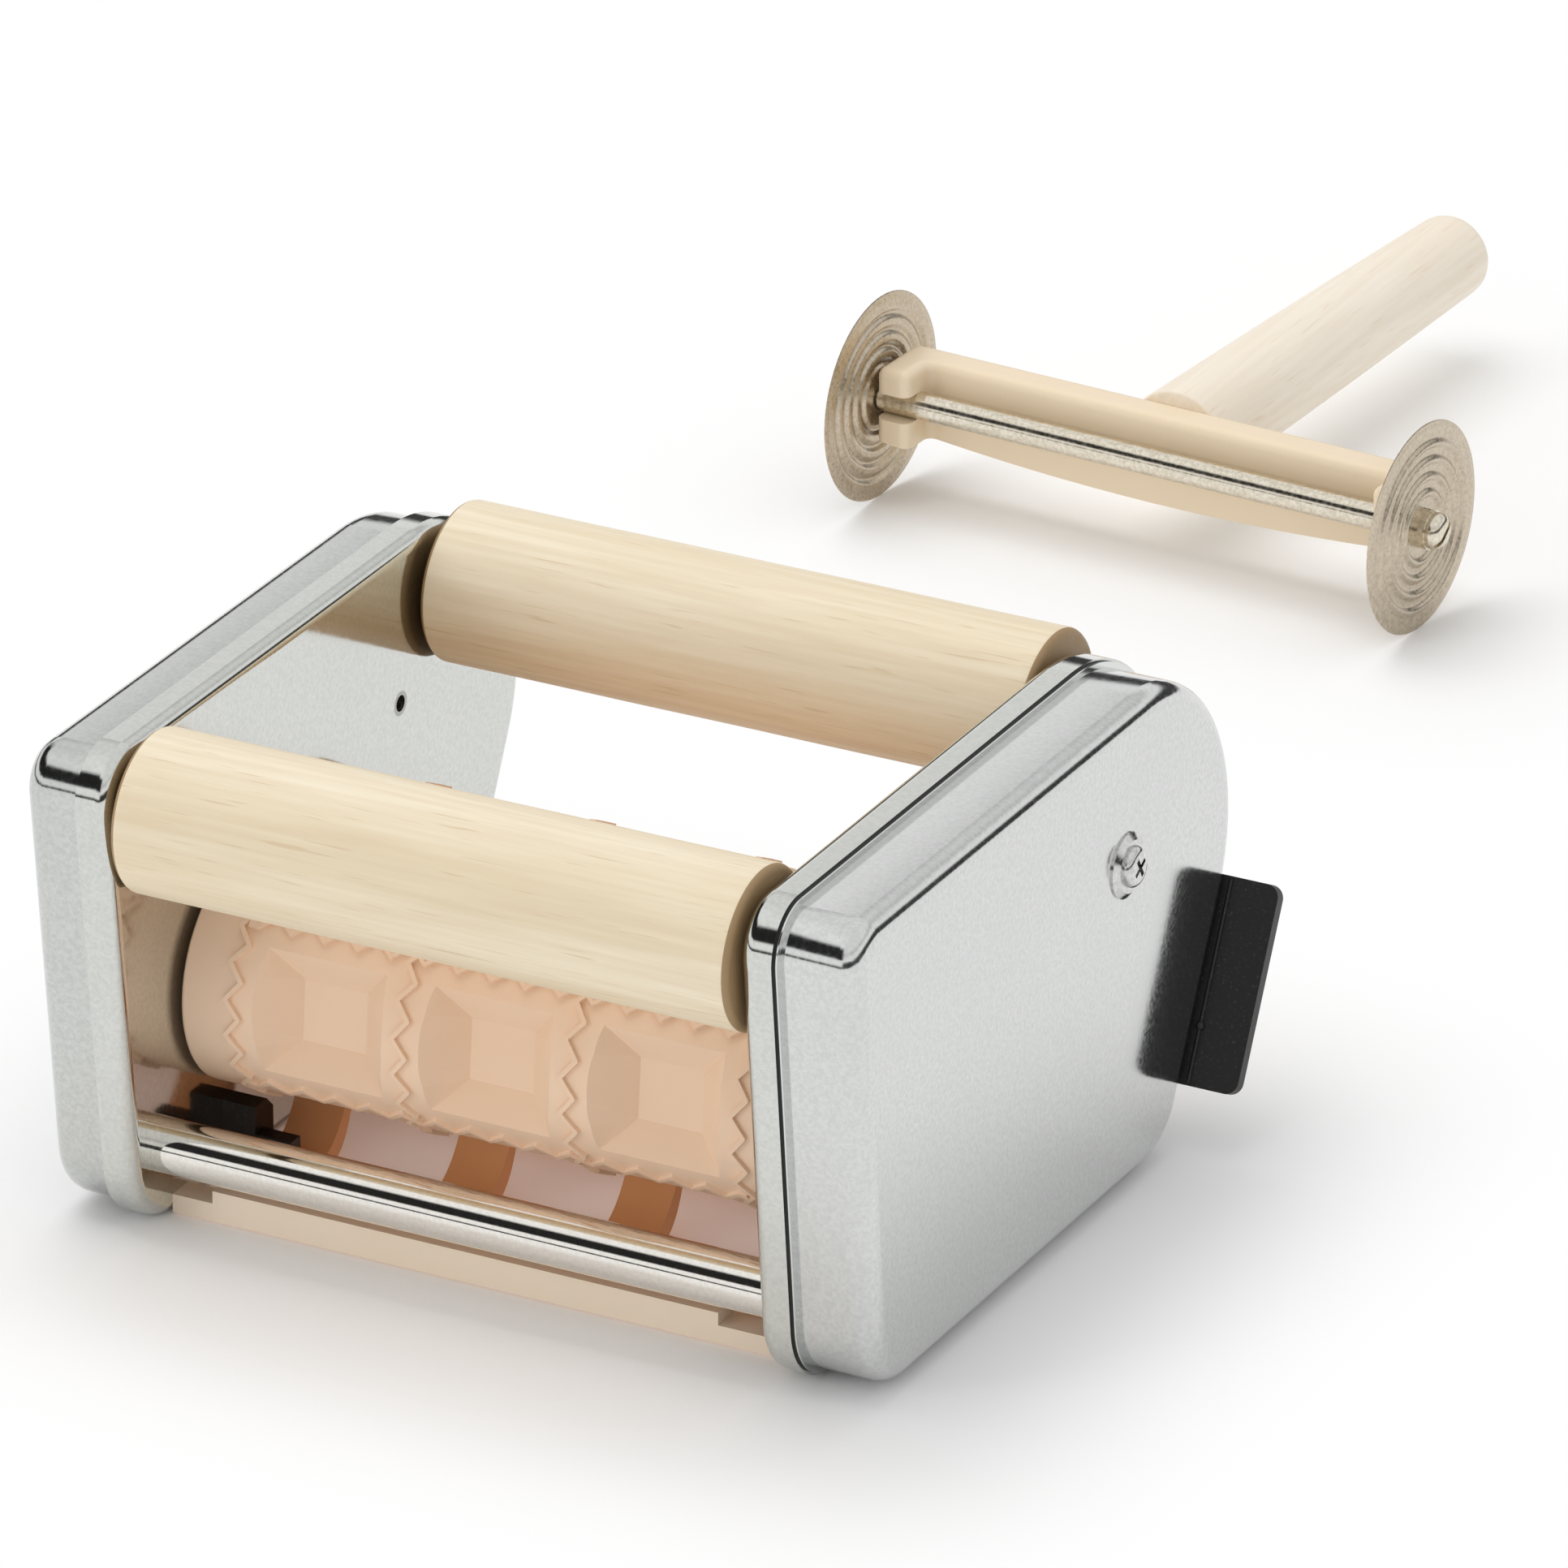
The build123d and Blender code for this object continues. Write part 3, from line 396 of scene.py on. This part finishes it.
SIDE_GRAIN_REACH = half_size("front_roller")[0] - 1.2 * MM
# The roller ends are dark end grain, made darker still with painted shade of the gap
# beside the frame walls.
END_GRAIN_AND_SHADE = (0.36, 0.235, 0.115)
roller_wood = wood(
    "roller_wood", (0.90, 0.805, 0.625), (0.84, 0.715, 0.51), (0.64, 0.47, 0.27),
    end_x=(HOME[0], SIDE_GRAIN_REACH, END_GRAIN_AND_SHADE),
)
handle_wood = wood(
    "handle_wood", (0.95, 0.88, 0.765), (0.92, 0.825, 0.685), (0.78, 0.62, 0.45),
    turn=(0, 0, math.radians(90)),
)
print("side grain reaches", round(SIDE_GRAIN_REACH / MM, 1), "mm from the middle")

# %% [markdown]
# ## Metals
# The metal parts differ mainly in how sharp they reflect. The covers are plated sheet
# with a fine crystalline bloom, the pressed frames are smoother, the tie rods are
# polished, and the cutter's wheels are plain steel with a warm tint.
#
# A pressed wall is never flat: it stands a little proud in the middle, and a mirror
# shows that at once. The CAD meshes stay as they are, so a wide, low bump over the
# covers' walls bends the light instead, and the fine bloom lies on top of it.

# %% Metals
DULL_SHARE = 0.25


def metal(name, colour, dull, roughness, spread, grain_height, crown=None):
    """Metal whose crystals shift its shade, its roughness and its surface a little.

    The roughness runs from roughness to roughness + spread. crown (from x, to x, H)
    bends the light over the walls between: h(x) = H (1 - (2 (x - mid) / width)^2).
    """
    made, tree, shader = material(name, Metallic=1.0)
    sparkle = use_group(tree, SPARKLE)
    crystals = ramp(tree, sparkle.outputs["Crystals"], ((0.35, 0.0), (0.65, 1.0)))
    shade = blend_colours(tree, crystals, dull, colour)
    soft = ramp(tree, sparkle.outputs["Cloud"], ((0.35, 0.0), (0.7, 1.0)))
    shade = blend_colours(tree, scaled(tree, soft, DULL_SHARE), shade, dull)
    tree.links.new(shade, shader.inputs["Base Color"])
    rough = scaled(tree, crystals, spread, roughness)
    tree.links.new(rough, shader.inputs["Roughness"])
    bump(tree, shader, crystals, grain_height, strength=0.6)
    if crown:
        across = along_axis(tree, "X", crown[0], crown[1])
        off = scaled(tree, across, 2.0, -1.0)
        square = add(tree, "ShaderNodeMath", operation="MULTIPLY")
        tree.links.new(off, square.inputs[0])
        tree.links.new(off, square.inputs[1])
        curve = add(tree, "ShaderNodeBump", Strength=1.0, Distance=-crown[2])
        tree.links.new(square.outputs[0], curve.inputs["Height"])
        fine = shader.inputs["Normal"].links[0].from_node
        tree.links.new(curve.outputs["Normal"], fine.inputs["Normal"])
    return made


COVER_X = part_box("right_cover")[0][0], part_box("right_cover")[1][0]
LEFT_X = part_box("left_cover")[0][0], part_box("left_cover")[1][0]
PLATE = (0.70, 0.71, 0.70)
cover_metal = metal(
    "plated_cover", PLATE, (0.61, 0.62, 0.61), 0.09, 0.06, 0.003 * MM,
    crown=(*COVER_X, 0.4 * MM),
)
left_metal = metal(
    "plated_left_cover", (0.63, 0.64, 0.62), (0.54, 0.55, 0.53), 0.09, 0.06, 0.003 * MM,
    crown=(*LEFT_X, 0.2 * MM),
)
METALS = {
    "pressed_frame": ((0.68, 0.69, 0.66), (0.60, 0.61, 0.58), 0.07, 0.04, 0.002 * MM),
    "polished_rod": ((0.84, 0.815, 0.77), (0.76, 0.73, 0.68), 0.05, 0.04, 0.0015 * MM),
    "turned_steel": ((0.50, 0.50, 0.49), (0.36, 0.36, 0.35), 0.28, 0.12, 0.01 * MM),
    "axle_steel": ((0.86, 0.80, 0.69), (0.64, 0.58, 0.46), 0.14, 0.1, 0.005 * MM),
    "wheel_steel": ((0.68, 0.59, 0.47), (0.50, 0.43, 0.33), 0.26, 0.12, 0.01 * MM),
    "screw_steel": ((0.74, 0.74, 0.73), (0.55, 0.55, 0.54), 0.12, 0.1, 0.006 * MM),
}
frame_metal, rod_metal, hidden_metal, axle_metal, wheel_metal, screw_metal = [
    metal(name, *values) for name, values in METALS.items()
]
print("metals:", 2 + len(METALS))

# %% [markdown]
# ## Plastics
# The moulded parts are plastics: the drums are a pale peach with a faint mottling, the
# combs are beige, with a deep amber under the drums that is painted shade warmed by
# light bounced off the drums, and the wings are black with a fine sparkle from their
# textured mould.
#
# One function makes them all. A plain colour would look like paint, so each plastic has
# two close shades in soft clouds, and the finer noise roughens its skin a little.

# %% Plastics
MOULD_TEXTURE = 1400.0
ROUGH_SPREAD = 0.1
SKIN_HEIGHT = 0.03 * MM
SPECK_STOPS = ((0.60, 0.0), (0.72, 1.0))


def plastic(
    name, colour, second, roughness, mottle=0.35, specks=None, coat=0.0, turns=None
):
    """Moulded plastic: two close shades in soft clouds.

    specks (share, colour) adds fine bright specks. turns (axis, start, end, colour)
    lets the shade change over from start to end.
    """
    made, tree, shader = material(name, Coat_Weight=coat, Coat_Roughness=0.25)
    sparkle = use_group(tree, SPARKLE)
    sparkle.inputs["Size"].default_value = MOULD_TEXTURE
    soft = ramp(tree, sparkle.outputs["Cloud"], ((0.3, 0.0), (0.7, 1.0)))
    shade = blend_colours(tree, scaled(tree, soft, mottle), colour, second)
    if turns:
        shade = blend_colours(tree, along_axis(tree, *turns[:3]), shade, turns[3])
    if specks:
        dots = ramp(tree, sparkle.outputs["Crystals"], SPECK_STOPS)
        shade = blend_colours(tree, scaled(tree, dots, specks[0]), shade, specks[1])
    tree.links.new(shade, shader.inputs["Base Color"])
    rough = scaled(tree, soft, ROUGH_SPREAD, roughness)
    tree.links.new(rough, shader.inputs["Roughness"])
    bump(tree, shader, sparkle.outputs["Crystals"], SKIN_HEIGHT, strength=0.35)
    return made


mould_plastic = plastic("mould_plastic", (0.89, 0.66, 0.48), (0.84, 0.585, 0.40), 0.5)
black_plastic = plastic(
    "black_plastic", (0.005, 0.005, 0.005), (0.009, 0.009, 0.009), 0.38, mottle=0.4,
    specks=(0.5, (0.08, 0.08, 0.08)),
)
bush_plastic = plastic("bush_plastic", (0.62, 0.60, 0.54), (0.55, 0.53, 0.47), 0.5)
yoke_plastic = plastic(
    "yoke_plastic", (0.88, 0.73, 0.53), (0.83, 0.67, 0.45), 0.34, mottle=0.3, coat=0.3
)
print("finishes so far:", len(bpy.data.materials))

# %% [markdown]
# ## Combs and seals
# The amber along a comb is painted shade: the tines lie in the dark under the drums,
# warmed by light bounced off them. It could be two materials on two sets of faces, with a
# hard line between them. A mask along Y gives the soft change that the eye expects. The
# same mask, along X, gives the right seal its bright outer lip beside the black line:
# there it also makes the surface metallic and smooth.

# %% Combs and seals
# The beige is the combs' own colour. The amber towards the tines is painted shade under
# the drums, warmed by bounced light.
BEIGE, BEIGE_2, PAINTED_SHADE_AMBER = (0.93, 0.79, 0.63), (0.90, 0.74, 0.57), (0.90, 0.47, 0.21)
PAINTED_SHADE_FROM, PAINTED_SHADE_TO = 7 * MM, 16 * MM
comb_front, comb_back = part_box("front_comb")[0][1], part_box("rear_comb")[1][1]
comb_beige = plastic(
    "front_comb_plastic", BEIGE, BEIGE_2, 0.4,
    turns=("Y", comb_front + PAINTED_SHADE_FROM, comb_front + PAINTED_SHADE_TO, PAINTED_SHADE_AMBER),
)
rear_beige = plastic(
    "rear_comb_plastic", BEIGE, BEIGE_2, 0.4,
    turns=("Y", comb_back - PAINTED_SHADE_FROM, comb_back - PAINTED_SHADE_TO, PAINTED_SHADE_AMBER),
)
# The seals are black where they fill the gap between each frame and its cover.
GAP_BLACK, GAP_BLACK_2 = (0.006, 0.006, 0.006), (0.01, 0.01, 0.01)
BLACK_WIDTH, LIP_EDGE = 0.62 * MM, 0.1 * MM
GAP_BLACK_ROUGH, LIP_ROUGH = 0.5, 0.12
seal_plastic = plastic("seal_black", GAP_BLACK, GAP_BLACK_2, 0.55)


def lipped_seal():
    """Black seal whose outer part along X is a bright, plated lip."""
    seal_low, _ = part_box("right_seal")
    lip_start = seal_low[0] + BLACK_WIDTH
    lip = ("X", lip_start, lip_start + LIP_EDGE)
    made = plastic(
        "seal_with_bright_lip", GAP_BLACK, GAP_BLACK_2, GAP_BLACK_ROUGH, turns=(*lip, PLATE)
    )
    tree = made.node_tree
    shader = tree.nodes["Principled BSDF"]
    mask = along_axis(tree, *lip)
    tree.links.new(mask, shader.inputs["Metallic"])
    rough = scaled(tree, mask, LIP_ROUGH - GAP_BLACK_ROUGH, GAP_BLACK_ROUGH)
    tree.links.new(rough, shader.inputs["Roughness"])
    return made


lip_plastic = lipped_seal()
print("combs turn amber over", round((PAINTED_SHADE_TO - PAINTED_SHADE_FROM) / MM), "mm")

# %% [markdown]
# ## Dressing the CAD nodes
# The sheet parts, the screws, the drums and the combs came out of the CAD model in their
# right form, with the right rounds. They could be modelled once more here, but a second
# model would only drift away from the first, so they stay and each gets one finish. The
# nodes that are made anew further on get theirs too, so that none is ever left grey.

# %% Finishes for the CAD nodes that stay as they are
KEPT = {
    cover_metal: ("right_cover",),
    left_metal: ("left_cover",),
    frame_metal: ("left_side_frame", "right_side_frame"),
    rod_metal: ("front_tie_rod", "rear_tie_rod", "roller_pins"),
    hidden_metal: (
        "cover_posts", "tie_rod_screws", "crank_coupling", "front_shaft", "rear_shaft",
        "front_gear", "rear_gear", "front_shaft_clip", "rear_shaft_clips",
    ),
    axle_metal: ("cutter_tube", "cutter_spindle", "cutter_nuts"),
    wheel_metal: ("cutter_left_wheel", "cutter_right_wheel"),
    screw_metal: ("cover_screws", "cup_washers"),
    mould_plastic: ("front_drum", "rear_drum"),
    comb_beige: ("front_comb",),
    rear_beige: ("rear_comb",),
    black_plastic: ("comb_clips", "left_wing", "right_wing"),
    seal_plastic: ("left_seal",),
    lip_plastic: ("right_seal",),
    bush_plastic: ("drum_bushes",),
    yoke_plastic: ("cutter_yoke",),
    roller_wood: ("front_roller", "rear_roller"),
    handle_wood: ("cutter_handle",),
}
for finish, names in KEPT.items():
    for name in names:
        nodes[name].data.materials.clear()
        nodes[name].data.materials.append(finish)
print("finishes set on", sum(len(names) for names in KEPT.values()), "CAD nodes")

# %% [markdown]
# ## Guide rollers
# The guide rollers are turned wooden sticks with a blind bore in each end for the pins. A
# cylinder with a bevel would do from afar, but its light would be dead straight. So a
# roller is one curve turned round its axis. The curve starts at the bottom of the bore,
# comes out over the end face, round the broken edge and along the wood. Wood is never
# perfectly true, so the radius swells and sinks by a few hundredths of a millimetre.

# %% Rollers
PIN_BORE, PIN_DEPTH = 4.05 * MM, 18 * MM
BROKEN_EDGE = 1.8 * MM
SWELL = 0.0012


def make_roller(node, body):
    """Turned roller: r(x) = R (1 - s (1 + cos(3 pi x / h))), with h its half length."""
    half, _, radius = half_size(node)
    bottom = PIN_DEPTH - half
    end = [(bottom, 0), (bottom, PIN_BORE), (-half, PIN_BORE), (-half, radius)]
    x = np.linspace(-half, half, 60)[1:-1]
    wavy = radius * (1 - SWELL * (1 + np.cos(3 * np.pi * x / half)))
    profile = end + list(zip(x, wavy)) + [(-a, r) for a, r in reversed(end)]
    radii = [0, 0, BROKEN_EDGE] + [0] * len(x) + [BROKEN_EDGE, 0, 0]
    piece(
        f"wood_{node}", turned(rounded(profile, radii), middle(node), (1, 0, 0), 160),
        body, roller_wood, [node],
    )


make_roller("front_roller", "front_roller_body")
make_roller("rear_roller", "rear_roller_body")

# %% [markdown]
# ## Cutter wheels
# The cutter's wheels are thin steel discs, pressed with four round beads for stiffness
# and ground to an edge. The beads could be torus rings laid on a disc, but a hard line
# would show where they meet it. Here the bead is a raised cosine in the disc's own
# profile. It runs into the flat without a crease, so light slides over it as on pressed
# steel. The back follows the front, so the wall stays even up to the ground edge.

# %% Wheels
AXLE = middle("cutter_right_wheel") - middle("cutter_left_wheel")
AXLE /= np.linalg.norm(AXLE)
AXLE[2] = 0
AXLE_MID = middle("cutter_spindle")
WHEEL_RADIUS = half_size("cutter_right_wheel")[2]
WHEEL_OUT = 74.3 * MM
WHEEL_BORE, WHEEL_HALF_WALL = 2.0 * MM, 0.4 * MM
GRINDING, EDGE_SHARE, EDGE_RUN = 1.6 * MM, 0.45, 0.35 * MM
BEAD_RADII = (8.5 + 4.0 * np.arange(4)) * MM
BEAD_HEIGHT, BEAD_REACH = 0.8 * MM, 1.55 * MM


def make_wheel(node, side):
    """Disc with beads: h(r) = H (1 + cos(pi (r - r_i) / w)) / 2 within w of each r_i."""
    r = np.linspace(WHEEL_BORE, WHEEL_RADIUS - EDGE_RUN, 120)
    away = np.abs(r[:, None] - BEAD_RADII) / BEAD_REACH
    lift = BEAD_HEIGHT * ((1 + np.cos(np.pi * np.clip(away, 0, 1))) / 2).sum(axis=1)
    thick = WHEEL_HALF_WALL * np.clip((WHEEL_RADIUS - r) / GRINDING, EDGE_SHARE, 1)
    front = list(zip(lift + thick, r))
    back = list(zip(lift - thick, r))[::-1]
    profile = front + [(0.0, WHEEL_RADIUS)] + back + front[:1]
    at = AXLE_MID + side * WHEEL_OUT * AXLE
    piece(
        f"beaded_{node}", turned(profile, at, side * AXLE, 160),
        "cutter_wheels", wheel_metal, [node], crisp=50,
    )


make_wheel("cutter_left_wheel", -1)
make_wheel("cutter_right_wheel", 1)

# %% [markdown]
# ## Cutter handle
# The handle tapers from the yoke to a soft rounded tip, and a bore in its root takes the
# yoke's stud. A cone would have the right ends, but a hand-turned handle has no straight
# line on it, so it is turned from one curve with a slight belly. The last ring before
# the tip stands well back from it, which leaves room for the wide round of the corner.

# %% Handle
BACKWARD = np.cross((0, 0, 1.0), AXLE)
HANDLE_ROOT, HANDLE_TIP = 13.5 * MM, 151 * MM
ROOT_RADIUS, TIP_RADIUS = 12.9 * MM, 10.5 * MM
BELLY, TIP_DOME = 0.25 * MM, 0.6 * MM
ROOT_ROUND, TIP_ROUND = 0.8 * MM, 5.5 * MM
STUD_BORE, STUD_DEPTH = 5.05 * MM, 14 * MM


def make_handle():
    """Turned handle: r(t) = root + (tip - root) t + belly sin(pi t), t from 0 to 1."""
    t = np.append(np.linspace(0, 0.95, 38), 1.0)
    radius = ROOT_RADIUS + (TIP_RADIUS - ROOT_RADIUS) * t + BELLY * np.sin(np.pi * t)
    along = HANDLE_ROOT + (HANDLE_TIP - HANDLE_ROOT) * t
    bottom = HANDLE_ROOT + STUD_DEPTH
    profile = [(bottom, 0), (bottom, STUD_BORE), (HANDLE_ROOT, STUD_BORE)]
    profile += list(zip(along, radius)) + [(HANDLE_TIP + TIP_DOME, 0)]
    radii = [0, 0, ROOT_ROUND] + [0] * (len(t) - 2) + [TIP_ROUND]
    piece(
        "turned_handle", turned(rounded(profile, radii), AXLE_MID, BACKWARD, 128),
        "cutter", handle_wood, ["cutter_handle"],
    )


make_handle()

# %% [markdown]
# ## The floor
# The set stands on white paper. A plain white plane would turn grey away from the lamps,
# and lamps strong enough to bleach it would bleach the chrome too. So the floor's
# material knows how far each point is from the machine and from the cutter. Near them it
# is paper, which takes their shadow. Further out it fades into a white that shines by
# itself and needs no lamp. Between the drums and the paper light bounces off the pale
# plastic, which a faint warm glow stands for.

# %% Floor
SHADOW_TO, WHITE_FROM = 12 * MM, 85 * MM
GLOW_EDGE = 3 * MM
PAPER, BLACK, WHITE = (0.97, 0.97, 0.97), (0.0, 0.0, 0.0), (1.0, 1.0, 1.0)
WARM_GLOW = (0.155, 0.115, 0.10)
FLOOR_HALF = 12.0


def away_from(tree, names):
    """Distance on the floor from the box round some CAD nodes.

    It is the length of max(|p - middle| - half the box, 0), worked out along X and Y.
    """
    boxes = [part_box(name) for name in names]
    low = np.min([box[0] for box in boxes], axis=0)
    high = np.max([box[1] for box in boxes], axis=0)
    flow = add(tree, "ShaderNodeTexCoord").outputs["Object"]
    steps = (
        ("SUBTRACT", ((low + high) / 2 * (1, 1, 0)).tolist()),
        ("ABSOLUTE", None),
        ("SUBTRACT", ((high - low) / 2 * (1, 1, 0)).tolist()),
        ("MAXIMUM", [0.0, 0.0, 0.0]),
        ("LENGTH", None),
    )
    for operation, value in steps:
        node = add(tree, "ShaderNodeVectorMath", operation=operation)
        tree.links.new(flow, node.inputs[0])
        if value:
            node.inputs[1].default_value = value
        flow = node.outputs["Value" if operation == "LENGTH" else "Vector"]
    return flow


def soft_step(tree, value, start, end):
    """A mask that eases from 0 where the value is start to 1 where it is end."""
    step = add(tree, "ShaderNodeMapRange", From_Min=start, From_Max=end)
    step.interpolation_type = "SMOOTHSTEP"
    tree.links.new(value, step.inputs["Value"])
    return step.outputs["Result"]


def paper_material():
    """Paper near the pieces, a shining white beyond, a warm glow below the drums."""
    made, tree, shader = material("studio_floor", Roughness=0.9, Specular_IOR_Level=0.0)
    nearest = add(tree, "ShaderNodeMath", operation="MINIMUM")
    tree.links.new(away_from(tree, ("left_cover", "right_cover")), nearest.inputs[0])
    tree.links.new(away_from(tree, ("cutter_nuts", "cutter_handle")), nearest.inputs[1])
    beyond = soft_step(tree, nearest.outputs[0], SHADOW_TO, WHITE_FROM)
    paper = blend_colours(tree, beyond, PAPER, BLACK)
    glow = blend_colours(tree, beyond, BLACK, WHITE)
    under = soft_step(tree, away_from(tree, ("front_drum", "rear_drum")), GLOW_EDGE, 0.0)
    glow = blend_colours(tree, under, glow, WARM_GLOW)
    tree.links.new(paper, shader.inputs["Base Color"])
    tree.links.new(glow, shader.inputs["Emission Color"])
    shader.inputs["Emission Strength"].default_value = 1.0
    return made


def floor(half):
    """A square floor, half its side from the origin to each edge."""
    mesh = bpy.data.meshes.new("studio_floor")
    corners = [(-half, -half, 0), (half, -half, 0), (half, half, 0), (-half, half, 0)]
    mesh.from_pydata(corners, [], [(0, 1, 2, 3)])
    mesh.materials.append(paper_material())
    ground = bpy.data.objects.new("studio_floor", mesh)
    bpy.context.scene.collection.objects.link(ground)
    print("floor in metres:", 2 * half, "x", 2 * half)


floor(FLOOR_HALF)

# %% [markdown]
# ## World
# Chrome has no look of its own: it shows the room. A plain white world makes it look
# like grey paint, and a picture of a studio would tie the lesson to a file. So the room
# is a few bands of grey by height, and only glossy rays see them. A low dark horizon
# runs all round, and towards the front left a dark wall stands between two bright
# bands, which gives the covers their dark patches. Every other ray meets an even grey,
# so that the bands can be moved without a change of the light on wood and plastic.

# %% World
AMBIENT = 0.70
DARK_WALL = (-0.85, -0.53, 0.0)
ALL_ROUND = (
    (-6, 1.0), (-3, 0.05), (11, 0.05), (16, 1.0), (24, 0.95), (31, 0.66), (40, 0.9),
)
IN_FRONT = (
    (-6, 1.0), (-2, 0.04), (3, 0.04), (6, 1.0),
    (17, 1.0), (21, 0.02), (43, 0.02), (49, 1.0),
)
WALL_EDGE = ((0.25, 0.0), (0.45, 1.0))


def height_ramp(tree, height, stops):
    """Greys by height, a sine; stops are (degrees above the horizon, grey)."""
    share = scaled(tree, height, 0.5, 0.5)
    places = [((math.sin(math.radians(angle)) + 1) / 2, shade) for angle, shade in stops]
    return ramp(tree, share, places)


def studio_world():
    """An even world for most light; in gloss, a dark horizon and a dark wall."""
    world = bpy.data.worlds.new("studio")
    bpy.context.scene.world = world
    world.use_nodes = True
    tree = world.node_tree
    back = tree.nodes["Background"]
    path = add(tree, "ShaderNodeLightPath")
    place = add(tree, "ShaderNodeTexCoord")
    split = add(tree, "ShaderNodeSeparateXYZ")
    tree.links.new(place.outputs["Generated"], split.inputs[0])
    all_round = height_ramp(tree, split.outputs["Z"], ALL_ROUND)
    in_front = height_ramp(tree, split.outputs["Z"], IN_FRONT)
    facing = add(tree, "ShaderNodeVectorMath", operation="DOT_PRODUCT")
    facing.inputs[1].default_value = DARK_WALL
    tree.links.new(place.outputs["Generated"], facing.inputs[0])
    front = ramp(tree, facing.outputs["Value"], WALL_EDGE)
    studio = blend_colours(tree, front, all_round, in_front)
    plain = blend_colours(tree, path.outputs["Is Camera Ray"], (AMBIENT,) * 3, WHITE)
    shade = blend_colours(tree, path.outputs["Is Glossy Ray"], plain, studio)
    tree.links.new(shade, back.inputs["Color"])
    print("world:", world.name, "with", len(tree.nodes), "nodes")


studio_world()

# %% [markdown]
# ## Lamps
# The photograph has soft shadows under the set and none beside it, so its light comes
# from large sources. A sun lamp would draw hard shadows. Two square area lamps are used
# instead: a large one above, for the shadow on the paper, and a small one at the front
# left, which lifts the fronts. They don't show in gloss, because the bands of the world
# are already there, and a lit square beside them would give the chrome a second window.

# %% Lamps


def softbox(name, place, aim, size, power):
    """A square area lamp at place, turned towards aim, that metal doesn't mirror."""
    data = bpy.data.lights.new(name, "AREA")
    data.size = size
    data.energy = power
    lamp = bpy.data.objects.new(name, data)
    bpy.context.scene.collection.objects.link(lamp)
    lamp.location = place
    lamp.rotation_mode = "QUATERNION"
    lamp.rotation_quaternion = (Vector(aim) - Vector(place)).to_track_quat("-Z", "Y")
    lamp.visible_glossy = False
    print(f"{name}: {power} W over {size} m")


softbox("top_lamp", place=(-0.6, 0.1, 2.0), aim=(0.0, -0.1, 0.0), size=1.8, power=17.0)
softbox("front_lamp", place=(-1.5, -2.1, 0.9), aim=(0.0, -0.2, 0.05), size=0.8, power=7.0)

# %% [markdown]
# ## Camera
# The photograph was taken from afar with a long lens, 28 degrees round to the right and
# 25 degrees up. Long edges that run away from the lens come together only slightly in
# it, and how fast they do gives the distance. A camera could be placed by eye, but it
# would never cover the picture. This one was fitted to the machine's edges, and its
# place is given in metres from the machine's middle on the table.

# %% Camera
PHOTO_SIZE = 1932
FOCAL_PIXELS = 17979.0
CAMERA_AT = HOME + np.array([1.3624, -2.4997, 1.4190])
VIEW_BACK = (0.4233, -0.8018, 0.4217)
SENSOR_MM = 36.0


def photo_camera():
    """Camera without tilt: right is level, back points from the machine to the lens."""
    data = bpy.data.cameras.new("photo_camera")
    data.sensor_width = SENSOR_MM
    data.lens = FOCAL_PIXELS / PHOTO_SIZE * SENSOR_MM
    data.clip_start, data.clip_end = 0.05, 60.0
    eye = bpy.data.objects.new("photo_camera", data)
    bpy.context.scene.collection.objects.link(eye)
    back = Vector(VIEW_BACK).normalized()
    right = Vector((0, 0, 1)).cross(back).normalized()
    up = back.cross(right)
    turn = Matrix((right, up, back)).transposed().to_4x4()
    eye.matrix_world = Matrix.Translation(Vector(CAMERA_AT.tolist())) @ turn
    bpy.context.scene.camera = eye
    return data


lens = photo_camera()
bpy.context.scene.view_settings.view_transform = "Standard"
print("lens in mm:", round(lens.lens, 1))

# %% [markdown]
# ## The end
# The view layer is brought up to date, so that every piece stands where it was put.

# %% The end
bpy.context.view_layer.update()
